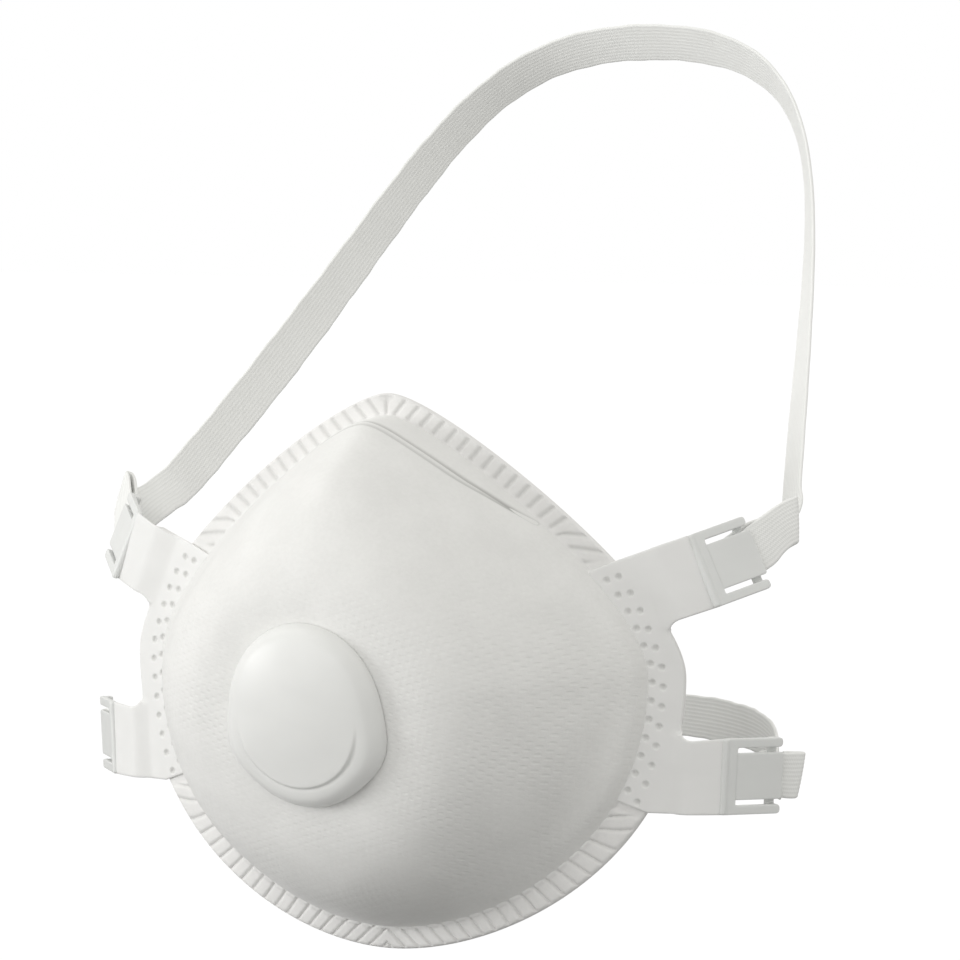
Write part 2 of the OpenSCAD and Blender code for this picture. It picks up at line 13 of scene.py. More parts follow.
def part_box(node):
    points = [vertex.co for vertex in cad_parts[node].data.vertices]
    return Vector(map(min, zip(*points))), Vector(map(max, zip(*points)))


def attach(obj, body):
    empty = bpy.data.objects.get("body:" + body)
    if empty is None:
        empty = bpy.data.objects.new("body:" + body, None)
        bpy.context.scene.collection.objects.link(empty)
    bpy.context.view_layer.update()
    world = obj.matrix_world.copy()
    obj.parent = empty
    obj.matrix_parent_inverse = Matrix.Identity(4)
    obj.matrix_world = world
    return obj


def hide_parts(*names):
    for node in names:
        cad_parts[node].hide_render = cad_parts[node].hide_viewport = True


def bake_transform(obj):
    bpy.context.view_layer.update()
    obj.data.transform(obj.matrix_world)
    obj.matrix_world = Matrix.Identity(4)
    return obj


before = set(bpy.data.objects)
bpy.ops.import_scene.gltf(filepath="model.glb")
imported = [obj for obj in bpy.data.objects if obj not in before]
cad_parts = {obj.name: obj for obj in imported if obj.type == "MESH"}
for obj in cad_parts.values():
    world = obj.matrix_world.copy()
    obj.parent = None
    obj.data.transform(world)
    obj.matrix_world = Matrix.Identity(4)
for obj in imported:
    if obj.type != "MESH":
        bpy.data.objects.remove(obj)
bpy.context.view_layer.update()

MM = 0.001

# Brim and cup, in mm; the brim's size comes from the CAD
HALF_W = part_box("outer_cover")[1].x / MM
HALF_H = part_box("outer_cover")[1].z / MM
CHEEK_Z = 1
NOSE_HANDLE, CHEEK_UP, CHEEK_DOWN, CHIN_HANDLE = 15, 23, 48, 30.5
EDGE_HANDLE = 0.93
SADDLE = 11
RIB_BAND, CHEEK_BAND = 5.5, 8
SADDLE_R = (HALF_W ** 2 + SADDLE ** 2) / (2 * SADDLE)
CUP_DEPTH, PORT_DROP, PORT_TILT = 44.5, 5.5, math.radians(8)
FLAT_R, PORT_R = 23, 15.6
# At the nose, the cheek and the chin: the wall's lean in degrees, and its curve's handle at the valve
WALL, PULL = (2, 36, 22), (0.35, 0.4, 0.45)
LIFT = 0.5
PORT = np.array([0, -CUP_DEPTH, -PORT_DROP])
PORT_UP = np.array([0, -math.sin(PORT_TILT), math.cos(PORT_TILT)])
PORT_OUT = np.array([0, -math.cos(PORT_TILT), -math.sin(PORT_TILT)])
FOCUS = np.array([0, 6, -3])
FORWARD, BACKWARD = np.array([0, -1, 0]), np.array([0, 1.0, 0])
MIRROR = np.array([-1, 1, 1])
CRIMP_START = 0.875

# Web layers: depth behind the cup's face, thickness, depth in the brim, slot
CRIMP_STEP, CRIMP_T = 0.45, 0.35
COVER_T = 0.5
LAYERS = {
    "support_shell": (0.6, 0.9, 1, "shell_web"),
    "coarse_filter": (1.6, 1.2, 2, "coarse_web"),
    "fine_filter": (2.9, 0.6, 3, "fine_web"),
    "inner_lining": (3.6, 0.5, 4, "lining_web"),
}
STACK = 4.1
BRIM_STACK = 4 * CRIMP_STEP + CRIMP_T
POCKET_DEEP, POCKET_END, POCKET_FADE, POCKET_V, POCKET_HALF = 1.2, 0.36, 0.08, 0.81, 0.2

# Carriers, buckles and straps; each tab's place on the brim, length and tilt
WING_GAP, WING_T = 0.1, 0.8
WING_TOP, WING_BOTTOM = 0.33, 0.635
WING_EDGE, WING_INSET = 0.4, -0.75
CORNERS = (0.417, 0.555)
FILLET_L, FILLET_S = 4, 0.02
TAB_W = 19.3
FOLD = math.radians(50)
TABS = {"upper": (0.375, 16, math.radians(24)), "lower": (0.59, 14, math.radians(-3))}
STRAP_W, STRAP_T, STRAP_Z = 11.4, 1.0, -1.05
RIBS = 11
RIB_PITCH = STRAP_W / RIBS
SIDES = {"right": 1, "left": -1}


def mix(a, b, u):
    return a * (1 - u) + b * u


def smooth(u):
    u = np.clip(u, 0, 1)
    return u * u * (3 - 2 * u)


def unit(v):
    return v / np.linalg.norm(v, axis=-1, keepdims=True)


def bez(a, b, c, d, t):
    return (1 - t) ** 3 * a + 3 * (1 - t) ** 2 * t * b + 3 * (1 - t) * t * t * c + t ** 3 * d


def bez_dir(a, b, c, d, t):
    return (1 - t) ** 2 * (b - a) + 2 * (1 - t) * t * (c - b) + t * t * (d - c)


def gauss(x, width):
    return np.exp(-(x / width) ** 2)


def rounding(u):
    """How far a unit circle has fallen below its top at u."""
    return 1 - np.sqrt(np.clip(1 - u ** 2, 0, 1))


def running_length(line):
    """Distance of each point from the first, along the line."""
    steps = np.linalg.norm(np.diff(line, axis=0), axis=1)
    return np.concatenate([[0], np.cumsum(steps)])


# ---- cup geometry
def edge_curve(s, inset):
    """The outline's control points and parameter at each s; inset 0 is the outer edge, 1 the cup's edge."""
    s, inset = np.broadcast_arrays(np.asarray(s, float), np.asarray(inset, float))
    w, h = HALF_W - inset * CHEEK_BAND, HALF_H - inset * RIB_BAND
    k = mix(1, EDGE_HANDLE, inset)
    upper, zero = s < 0.5, 0 * w

    def point(x_up, z_up, x_low, z_low):
        return np.stack([np.where(upper, x_up, x_low), np.where(upper, z_up, z_low)], -1)
    a = point(zero, h, w, zero + CHEEK_Z)
    b = point(NOSE_HANDLE * k, h, w, CHEEK_Z - CHEEK_DOWN * k)
    c = point(w, CHEEK_Z + CHEEK_UP * k, CHIN_HANDLE * k, -h)
    d = point(w, zero + CHEEK_Z, zero, -h)
    return a, b, c, d, np.where(upper, 2 * s, 2 * s - 1)[..., None]


def edge(s, inset):
    return bez(*edge_curve(s, inset))


def outward(s):
    d = unit(bez_dir(*edge_curve(s, 1.0)))
    return np.stack([-d[..., 1], d[..., 0]], -1)


def by_side(values, s):
    nose, cheek, chin = values
    return np.where(s < 0.5, mix(nose, cheek, smooth(2 * s)), mix(cheek, chin, smooth(2 * s - 1)))


def sag(x):
    return SADDLE_R - np.sqrt(SADDLE_R ** 2 - x * x)


def on_brim(p):
    return np.stack([p[..., 0], sag(p[..., 0]), p[..., 1]], -1)


def port_spoke(s):
    e = edge(s, 1.0)
    a = np.arctan2(e[..., 0], e[..., 1] + PORT_DROP)
    return np.sin(a)[..., None] * np.array([1.0, 0, 0]) + np.cos(a)[..., None] * PORT_UP


def wall_frame(s):
    """The cup's wall at the brim: its direction away from the brim and its outward normal."""
    w, out = np.radians(by_side(WALL, s)), outward(s)
    along = np.stack([-out[..., 0] * np.sin(w), -np.cos(w), -out[..., 1] * np.sin(w)], -1)
    normal = np.stack([out[..., 0] * np.cos(w), -np.sin(w), out[..., 1] * np.cos(w)], -1)
    return along, normal


def wall_ends(s):
    """The cup's face at the flat patch round the valve and at the brim, and its handle's length there."""
    patch, rim = PORT + FLAT_R * port_spoke(s), on_brim(edge(s, 1.0))
    return patch, rim, LIFT * (rim[..., 1] - patch[..., 1])


def dome(s, v):
    """Outer face of the cup; v runs from 0 at the flat patch round the valve to 1 at the brim."""
    s, v = np.broadcast_arrays(np.asarray(s, float), np.asarray(v, float))
    patch, rim, lift = wall_ends(s)
    pull = by_side(PULL, s) * np.linalg.norm(rim - patch, axis=-1)
    shoulder = rim + lift[..., None] * wall_frame(s)[0]
    return bez(patch, patch + pull[..., None] * port_spoke(s), shoulder, rim, v[..., None])


def crimping(v):
    """Grows from 0 to 1 where the webs are pressed together towards the brim."""
    return smooth((v - CRIMP_START) / (1 - CRIMP_START))


def into_cup(points, k):
    """Directions into the cup: towards its middle, and straight back where k is 1."""
    return unit(mix(unit(FOCUS - points), BACKWARD, k[..., None]))


def pocket(s, v):
    """How far the webs behind the cover are pushed in by the nose clip."""
    return (POCKET_DEEP * smooth((POCKET_END - s) / POCKET_FADE)
            * smooth(2 - 2 * np.abs(v - POCKET_V) / POCKET_HALF))


def mirrored(points, side):
    return points * np.where(side, 1, -1)[..., None] ** np.array([1, 0, 0])


def turns(count):
    """s, side and edge length of count columns that go once round the cup, evenly along its edge."""
    fine = np.linspace(0, 1, 2001)
    length = running_length(edge(fine, 0.5))
    walk = np.arange(count) / count * 2 * length[-1]
    right = walk <= length[-1]
    along = np.where(right, walk, 2 * length[-1] - walk)
    return np.interp(along, length, fine), right, along


# ---- mesh helpers
def grid_quads(rows, cols, start=0):
    """Quads of a grid whose columns close round."""
    r, c = np.arange(rows - 1)[:, None], np.arange(cols)[None, :]
    a, b = r * cols + c, r * cols + (c + 1) % cols
    return np.stack([a, b, b + cols, a + cols], -1).reshape(-1, 4) + start


def strip_quads(one, two):
    """Quads between two closed loops of vertex numbers."""
    return np.stack([one, np.roll(one, -1), np.roll(two, -1), two], -1)


def linked(name, data):
    obj = bpy.data.objects.new(name, data)
    bpy.context.scene.collection.objects.link(obj)
    return obj


def outward_mesh(name, points, faces, uvs=None):
    """A mesh turned so that its faces look outwards, with no face of more than four corners."""
    mesh = bpy.data.meshes.new(name)
    mesh.from_pydata(points.tolist(), [], faces)
    mesh.validate()
    bm = bmesh.new()
    bm.from_mesh(mesh)
    bmesh.ops.triangulate(bm, faces=[f for f in bm.faces if len(f.verts) > 4])
    bmesh.ops.recalc_face_normals(bm, faces=bm.faces)
    if bm.calc_volume(signed=True) < 0:
        bmesh.ops.reverse_faces(bm, faces=bm.faces)
    if uvs is not None:
        layer = bm.loops.layers.uv.new("across_along")
        for face in bm.faces:
            for loop in face.loops:
                loop[layer].uv = uvs[loop.vert.index]
    bm.to_mesh(mesh)
    bm.free()
    return mesh


def new_mesh(name, points, face_groups, uvs=None, sharp=40):
    """A smooth object from points in mm and groups of faces."""
    mesh = outward_mesh(name, points * MM, [face for group in face_groups for face in group.tolist()], uvs)
    mesh.shade_smooth()
    mesh.set_sharp_from_angle(angle=math.radians(sharp))
    return linked(name, mesh)


def mark_painted_shade_and_weld_tone(obj, amount):
    """Stores how deeply each point lies in a pressed line or weld, for the materials to darken: painted shade
    in the pressed lines, and at the welds painted shade together with their darker pressed tone.
    """
    layer = obj.data.attributes.new("crease", "FLOAT", "POINT")
    layer.data.foreach_set("value", np.clip(amount, 0, 1).astype(np.float32).ravel())


def sheet_mesh(name, front, back):
    """A closed thin solid from two grids of rings with the same columns; each ring closes round."""
    cols = front.shape[1]
    start = front.shape[0] * cols
    ids = np.arange(cols)
    faces = [grid_quads(front.shape[0], cols), grid_quads(back.shape[0], cols, start),
             strip_quads(ids, start + ids),
             strip_quads(start - cols + ids, start + (back.shape[0] - 1) * cols + ids)]
    return new_mesh(name, np.concatenate([front.reshape(-1, 3), back.reshape(-1, 3)]), faces)


def tube_mesh(name, sections, **more):
    """A solid from cross-section loops: sections[k][j], capped at both ends."""
    count, cols = sections.shape[:2]
    faces = [grid_quads(count, cols)]
    half = cols // 2
    for base in (0, (count - 1) * cols):
        fold = base + np.arange(cols)
        back = fold[::-1]
        faces.append(np.stack([fold[:half - 1], fold[1:half], back[1:half], back[:half - 1]], -1))
    return new_mesh(name, sections.reshape(-1, 3), faces, **more)


def ripple(points, size, seed):
    """Soft seeded unevenness between -1 and 1, from a few sine waves."""
    rng = np.random.default_rng(seed)
    total = np.zeros(points.shape[:-1])
    for octave in range(3):
        for _ in range(4):
            wave = rng.normal(size=3)
            wave *= 2 * math.pi / (size / 1.8 ** octave) / np.linalg.norm(wave)
            total += np.sin(points @ wave + rng.uniform(0, 2 * math.pi)) / 1.7 ** octave
    return total / 5


# ---- materials
BOND_X, BOND_Z, STITCH = 1.7, 1.05, 0.62


def blank_tree(owner):
    owner.use_nodes = True
    owner.node_tree.nodes.clear()
    return owner.node_tree


class Graph:
    """Builds one material's nodes."""

    def __init__(self, name):
        self.material = bpy.data.materials.new(name)
        self.tree = blank_tree(self.material)
        self.place = self.add("TexCoord", output="Object")

    def add(self, kind, inputs=(), output=0, **settings):
        node = self.tree.nodes.new("ShaderNode" + kind)
        for key, value in settings.items():
            setattr(node, key, value)
        for key, value in dict(inputs).items():
            if isinstance(value, bpy.types.NodeSocket):
                self.tree.links.new(value, node.inputs[key])
            else:
                node.inputs[key].default_value = value
        return node.outputs[output]

    def math(self, operation, a, b=0.0):
        return self.add("Math", {0: a, 1: b}, operation=operation)

    def plus(self, a, b):
        return self.math("ADD", a, b)

    def times(self, a, b):
        return self.math("MULTIPLY", a, b)

    def sine(self, value, rate):
        return self.math("SINE", self.times(value, rate))

    def noise(self, scale, detail=3, rough=0.55, stretch=None):
        where = self.place
        if stretch:
            where = self.add("Mapping", {"Vector": where, "Scale": stretch})
        return self.add("TexNoise", {"Vector": where, "Scale": scale, "Detail": detail, "Roughness": rough})

    def split(self, vector):
        node = self.tree.nodes.new("ShaderNodeSeparateXYZ")
        self.tree.links.new(vector, node.inputs[0])
        return node.outputs

    def ramp(self, value, low, high, to_low=0.0, to_high=1.0):
        return self.add("MapRange", {"Value": value, "From Min": low, "From Max": high,
                                     "To Min": to_low, "To Max": to_high})

    def mix(self, value, one, two):
        return self.add("Mix", {"Factor": value, "A": one, "B": two}, output="Result", data_type="RGBA")

    def tint(self, value, dark, light):
        return self.mix(value, (*dark, 1), (*light, 1))

    def painted_shade_and_weld_tone(self, colour, dark, share):
        """The colour, mixed towards a darker one where the mesh is marked: painted shade in pressed lines,
        and painted shade with the darker pressed tone at welds.
        """
        mark = self.add("Attribute", attribute_name="crease", output="Fac")
        return self.mix(self.times(mark, share), colour, (*dark, 1))

    def bump(self, height, strength, depth_mm, normal=None):
        inputs = {"Height": height, "Strength": strength, "Distance": depth_mm * MM}
        if normal is not None:
            inputs["Normal"] = normal
        return self.add("Bump", inputs)

    def finish(self, **inputs):
        names = {key.replace("_", " "): value for key, value in inputs.items()}
        shader = self.add("BsdfPrincipled", names)
        out = self.tree.nodes.new("ShaderNodeOutputMaterial")
        self.tree.links.new(shader, out.inputs["Surface"])
        return self.material


def mottled(g, dark, light):
    """A base colour that drifts between two close tints, plus finer fibre mottling."""
    both = g.plus(g.times(g.noise(70, 2), 0.6), g.times(g.noise(980, 3), 0.4))
    return g.tint(g.ramp(both, 0.38, 0.62), dark, light)


def web_material(name, dark, light, netting, rough=0.9, fuzz=0.3):
    """Thermally bonded nonwoven: random fibres, with small slanting bond marks when netting is above 0."""
    g = Graph(name)
    fibres = g.noise(2600, 4, 0.7)
    strands = g.noise(900, 3, 0.6, stretch=(1, 1, 3.2))
    normal = g.bump(fibres, 0.4, 0.1)
    normal = g.bump(strands, 0.25, 0.18, normal)
    if netting:
        x, _, z = g.split(g.add("Mapping", {"Vector": g.place, "Rotation": (0, math.radians(-14), 0)}))
        across = g.sine(x, math.pi / (BOND_X * MM))
        upright = g.sine(z, math.pi / (BOND_Z * MM))
        marks = g.ramp(g.times(across, upright), 0.2, 0.9)
        below_nose = g.ramp(g.split(g.place)[2], 0.036, 0.012)
        patchy = g.times(g.ramp(g.noise(45, 2), 0.38, 0.6, 0.25, 1), below_nose)
        normal = g.bump(g.times(g.times(marks, patchy), -1.0), netting, 0.14, normal)
    # painted shade: darker in the pressed lines marked on the mesh, the nose clip's double line and the
    # brim's rib lines
    colour = g.painted_shade_and_weld_tone(mottled(g, dark, light), (0.4, 0.4, 0.385), 0.85)
    fluffy = g.ramp(fibres, 0.3, 0.7, rough - 0.06, rough + 0.06)
    return g.finish(Base_Color=colour, Roughness=fluffy, Normal=normal,
                    Sheen_Weight=fuzz, Sheen_Roughness=0.5, Specular_IOR_Level=0.25)


def plastic_material(name, dark, light, rough, grain, scatter, gloss=0.0):
    """Moulded plastic: faint flow marks, fine grain and worn, slightly rougher patches."""
    g = Graph(name)
    fine = g.noise(3800, 2)
    flow = g.noise(90, 2, 0.4, stretch=(1, 1, 1.8))
    normal = g.bump(fine, grain, 0.04)
    normal = g.bump(flow, 0.05, 0.3, normal)
    # painted shade with the welds' darker pressed tone, where a mesh is marked (the carrier's weld dots)
    colour = g.painted_shade_and_weld_tone(g.tint(g.ramp(flow, 0.25, 0.75), dark, light), (0.5, 0.5, 0.48), 0.45)
    worn = g.ramp(g.noise(420, 4), 0.4, 0.7, rough, rough + 0.08)
    return g.finish(Base_Color=colour, Roughness=worn, Normal=normal, Subsurface_Weight=scatter,
                    Subsurface_Scale=1.2 * MM, Subsurface_Radius=(1, 1, 1),
                    Coat_Weight=gloss, Coat_Roughness=0.25)


def elastic_material():
    """Knitted elastic: rows of tiny stitches along the ribs, with painted shade between the ribs, so that the
    ribs and the selvedges show lighter.
    """
    g = Graph("elastic_knit")
    uv = g.add("UVMap", uv_map="across_along")
    x, y, _ = g.split(uv)
    knit = g.times(g.sine(x, 2 * math.pi / RIB_PITCH), g.sine(y, 2 * math.pi / STITCH))
    hairs = g.noise(2200, 3, 0.65)
    normal = g.bump(knit, 0.16, 0.1)
    normal = g.bump(hairs, 0.25, 0.08, normal)
    # painted shade between the ribs, mixed with a random drift of tone from the noise
    crest = g.math("ABSOLUTE", g.sine(x, math.pi / RIB_PITCH))
    shade = g.plus(g.times(g.math("POWER", crest, 0.6), 0.55), g.times(g.noise(120, 3), 0.45))
    blend = g.plus(shade, g.times(knit, 0.06))
    colour = g.tint(g.ramp(blend, 0.2, 0.85), (0.84, 0.845, 0.83), (0.94, 0.945, 0.93))
    return g.finish(Base_Color=colour, Roughness=g.ramp(hairs, 0.3, 0.7, 0.72, 0.88), Normal=normal,
                    Sheen_Weight=0.25, Sheen_Roughness=0.5, Specular_IOR_Level=0.3)


def metal_material():
    g = Graph("clip_metal")
    brushed = g.noise(500, 3, stretch=(0.2, 1, 6))
    return g.finish(Base_Color=g.tint(brushed, (0.62, 0.63, 0.64), (0.76, 0.77, 0.78)), Metallic=1.0,
                    Roughness=g.ramp(brushed, 0.3, 0.7, 0.3, 0.45), Normal=g.bump(brushed, 0.2, 0.03))


def foam_material():
    g = Graph("nose_foam")
    cells = g.add("TexVoronoi", {"Vector": g.place, "Scale": 1500}, output="Distance")
    pore_depth_and_shade = g.ramp(cells, 0.15, 0.6)
    # darker at the pore centres: painted shade in the pore hollows; the same pattern also gives their bump
    colour = g.tint(pore_depth_and_shade, (0.42, 0.43, 0.43), (0.70, 0.71, 0.70))
    return g.finish(Base_Color=colour, Roughness=0.95, Normal=g.bump(pore_depth_and_shade, 0.8, 0.35), Sheen_Weight=0.2)


# Darker and lighter tint, then the netting's strength, roughness and fuzz
WEBS = {
    "outer_web": ("outer_nonwoven", (0.83, 0.83, 0.815), (0.875, 0.875, 0.86), 0.55),
    "brim": ("crimped_brim", (0.85, 0.845, 0.835), (0.89, 0.885, 0.875), 0.0, 0.8, 0.2),
    "shell_web": ("shell_nonwoven", (0.74, 0.75, 0.75), (0.82, 0.82, 0.82), 0.0),
    "coarse_web": ("coarse_nonwoven", (0.78, 0.80, 0.82), (0.88, 0.89, 0.90), 0.0),
    "fine_web": ("fine_nonwoven", (0.80, 0.81, 0.84), (0.88, 0.89, 0.91), 0.0),
    "lining_web": ("lining_nonwoven", (0.84, 0.84, 0.83), (0.91, 0.91, 0.90), 0.5),
}
# Darker and lighter tint, then roughness, grain, scatter and gloss
PLASTICS = {
    "carrier": ("carrier_plastic", (0.85, 0.85, 0.84), (0.88, 0.88, 0.87), 0.5, 0.12, 0.15),
    "buckle_plastic": ("buckle_plastic", (0.77, 0.78, 0.77), (0.80, 0.81, 0.80), 0.38, 0.1, 0.25, 0.1),
    "valve_plastic": ("valve_plastic", (0.80, 0.80, 0.79), (0.86, 0.86, 0.85), 0.42, 0.1, 0.1),
    "cover_plastic": ("cover_plastic", (0.84, 0.845, 0.83), (0.865, 0.87, 0.855), 0.36, 0.1, 0.3, 0.12),
    "flap_rubber": ("flap_rubber", (0.80, 0.76, 0.68), (0.86, 0.82, 0.74), 0.55, 0.2, 0.2),
}
MATERIALS = {key: web_material(*look) for key, look in WEBS.items()}
MATERIALS.update({key: plastic_material(*look) for key, look in PLASTICS.items()})
MATERIALS.update(clip_metal=metal_material(), foam=foam_material(), elastic=elastic_material())


def dress(obj, look):
    obj.data.materials.clear()
    obj.data.materials.append(MATERIALS[look])


def finished(obj, slot, stands_for, body="root", look=None):
    """Gives a new piece its material and the body it rides on, and hides the CAD nodes it stands for."""
    dress(obj, look or slot)
    if body:
        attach(obj, body)
    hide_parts(*stands_for)


# ---- webs of the cup
COVER_COLS, INNER_COLS = 560, 224
GROOVE_FROM_EDGE, GROOVE_END, GROOVE_BEND = 11.4, 0.272, 2.9
GROOVE_STEP, GROOVE_W, GROOVE_DEEP = 2.3, 0.62, 0.35

# Soft forms of the cover: height, distance from the edge (the arc: from the groove) and width
SHOULDER, ARC, SWELL = (1.3, 13.5, 6), (0.16, 6.5, 1.3), (1.1, 6, 4)
COVER_UNEVEN, LINING_UNEVEN = 0.14, 0.12


def bulge(distance, height, at, width):
    return height * gauss(distance - at, width)


def edge_distance(points):
    """Distance along each column from its last row, for rows of points."""
    steps = np.linalg.norm(np.diff(points, axis=0), axis=-1)
    return np.concatenate([np.cumsum(steps[::-1], axis=0)[::-1], np.zeros((1, points.shape[1]))])


def rows_from_edge(s, distances):
    """v of points at the given distances from the cup's edge, for each column."""
    fine = np.linspace(0, 1, 240)
    away = edge_distance(dome(s[None, :], fine[:, None]))
    return np.stack([np.interp(distances, column[::-1], fine[::-1]) for column in away.T], -1)


def web_face(s, right, v, depth, brim_depth, flat_rows=2, pocketed=False):
    """Grid of one whole web face at a depth behind the outer one; v may differ from column to column."""
    s, v = s[None, :], v if v.ndim == 2 else v[:, None]
    radii = np.linspace(PORT_R, FLAT_R, flat_rows, endpoint=False)[:, None, None]
    flat = PORT + radii * port_spoke(s) - depth * PORT_OUT
    k, cup = crimping(v), dome(s, v)
    deep = mix(depth + (pocket(s, v) if pocketed else 0), brim_depth, k)
    cup = cup + deep[..., None] * into_cup(cup, k)
    return mirrored(np.concatenate([flat, cup]), right[None, :])


def cover_relief(points, s):
    """Height of the outer face's details, and the painted shade along the nose clip's double line."""
    distance = edge_distance(points)
    s = s[None, :]
    groove = GROOVE_FROM_EDGE * (1 - (s / GROOVE_END) ** GROOVE_BEND)
    inside = smooth((0.965 * GROOVE_END - s) / 0.006)
    gap = GROOVE_STEP * (1 - 0.75 * smooth((s - 0.15) / 0.11))
    lines = gauss(distance - groove, GROOVE_W) + 0.7 * gauss(distance - groove - gap, 0.85 * GROOVE_W)
    between = gauss(distance - groove - gap / 2, 0.8)
    shoulder = bulge(distance, *SHOULDER) * smooth((0.17 - s) / 0.17)
    arc = bulge(distance - groove, *ARC) * smooth((0.2 - s) / 0.12)
    swell = bulge(distance, *SWELL) * smooth((s - 0.3) / 0.12) * smooth((0.75 - s) / 0.12)
    uneven = COVER_UNEVEN * ripple(points, 26, 11) * smooth(distance / 8)
    ridge = 0.1 * between * smooth((0.22 - s) / 0.1)
    # how strong the painted shade along the double line is: it grows away from the nose
    stronger = 0.75 + 0.25 * smooth((s - 0.1) / 0.15)
    relief = shoulder + inside * (ridge - GROOVE_DEEP * lines) + arc + swell + uneven
    return relief, inside * lines * stronger


def grid_normals(points):
    """Outward normals of a grid whose columns close round."""
    around = np.roll(points, -1, axis=1) - np.roll(points, 1, axis=1)
    down = np.gradient(points, axis=0)
    normal = unit(np.cross(down, around))
    return np.where(normal[..., 1:2].mean() > 0, -1, 1) * normal


def outer_skin():
    """The outer web's two faces; the front's rows are closest together near its edge."""
    s, right, _ = turns(COVER_COLS)
    near = rows_from_edge(s, np.linspace(18, 0, 61))
    far = np.linspace(0, 1, 32, endpoint=False)[:, None] * near[:1]
    face = web_face(s, right, np.concatenate([far, near]), 0, 0, flat_rows=5)
    relief, crease_shading = cover_relief(face, s)
    front = face + relief[..., None] * grid_normals(face)
    back_v = np.concatenate([np.linspace(0, 0.8, 14, endpoint=False), np.linspace(0.8, 1, 9)])
    back = web_face(s, right, back_v, COVER_T, CRIMP_T)
    obj = sheet_mesh("outer_cover_skin", front, back)
    # painted shade along the nose clip's double line, on the front face only
    mark_painted_shade_and_weld_tone(obj, np.concatenate([crease_shading.ravel(), np.zeros(back.size // 3)]))
    finished(obj, "outer_web", ["outer_cover"])


def inner_web(name):
    depth, thick, step, slot = LAYERS[name]
    s, right, _ = turns(INNER_COLS)
    v = np.concatenate([np.linspace(0, 0.6, 12, endpoint=False), np.linspace(0.6, 1, 22)])
    front = web_face(s, right, v, depth, step * CRIMP_STEP, pocketed=True)
    back = web_face(s, right, v, depth + thick, step * CRIMP_STEP + CRIMP_T, pocketed=True)
    if name == "inner_lining":
        uneven = LINING_UNEVEN * ripple(back, 22, 5) * (edge_distance(back) > 3)
        back = back + uneven[..., None] * FORWARD
    obj = sheet_mesh(name + "_web", front, back)
    finished(obj, slot, [name])


# ---- crimped brim
RIB_TOP_PITCH, RIB_TURN_PITCH, RIB_BOTTOM_PITCH = 3.9, 5.4, 4.05
RIB_TURN = 0.282
RIM_COLS = 1800
RIB_TOP_END, RIB_BOTTOM_START = 0.325, 0.642
RIM_ROUND = 0.55
CLIMB = (-2.4, -1.9, -1.45, -1.0, -0.6, -0.25)
TUCK, BEHIND_GAP, BEHIND_RELIEF = 0.22, 0.05, 0.45


def open_brim(s, fade):
    """1 where the brim is bare, 0 where a carrier covers it."""
    return smooth((RIB_TOP_END - s) / fade) + smooth((s - RIB_BOTTOM_START) / fade)


def rib_lean(s):
    """Tangent of the ribs' lean from the brim's normal, towards the nose on the way out."""
    top = (-0.65 * smooth(s / 0.02) + 0.67 * smooth((s - 0.05) / 0.19)
           - 0.85 * smooth((s - RIB_TURN + 0.012) / 0.02))
    bottom = 0.5 * smooth((0.70 - s) / 0.05) + 0.04 + 1.0 * smooth((s - 0.80) / 0.2)
    return np.where(s < 0.5, top, bottom)


def rib_phase(s, along, c, band):
    """Counts the ribs: from the nose on the upper half, wider once they turn, and from the chin below."""
    turn_at = along[np.argmin(np.abs(s - RIB_TURN))]
    beyond = np.maximum(0, along - turn_at)
    pitch = mix(RIB_TOP_PITCH, RIB_TURN_PITCH, smooth(beyond / 2))
    top = (along - beyond) / RIB_TOP_PITCH + beyond / RIB_TURN_PITCH + (c - band / 2) * rib_lean(s) / pitch
    bottom = (along.max() - along - c * rib_lean(s)) / RIB_BOTTOM_PITCH
    return np.where(s < 0.5, top, bottom)


def rim_relief(s, along, c, band):
    """Height of the crimped pads, and the painted shade in their rib lines and faintly over the upper brim: c
    is the distance outwards from the cup's foot, in mm.
    """
    phase = rib_phase(s, along, c, band)
    pitch = np.where(s < 0.5, RIB_TOP_PITCH, RIB_BOTTOM_PITCH)
    x = np.abs(phase - np.floor(phase + 0.5)) * pitch
    ribbed = open_brim(s, 0.006)
    low = s > 0.5
    pad_end = np.where(low, -1.3, 0.0)
    off = (pitch / 2 - x) / (pitch / 2)
    round_end = pad_end + np.where(low, 1.0, 0.4) * rounding(off)
    reach = smooth((c - round_end) / 0.5 + 0.5) * smooth((band - 0.5 - c) / 0.5 + 0.5)
    crown = 0.3 * (1 - off ** 4)
    line = gauss(x, np.where(low, 0.4, 0.62))
    pads = reach * np.where(low, crown + 0.14 - 0.42 * line, 0.12 - 0.5 * line)
    border = -0.1 * low * gauss(c - band + 0.75, 0.25)
    # painted shade in the recessed rib lines, and a faint painted shade over the whole upper half of the brim
    crease = ribbed * reach * line * np.where(low, 0.18, 0.34) + np.where(low, 0, 0.04)
    return ribbed * (pads + border), crease


def foot_bead(s, c):
    """The web's soft turn at the cup's foot, left out where the carrier covers it."""
    return np.where(s < 0.5, 0.12, 0.25) * gauss(c, 0.8) * open_brim(s, 0.01)


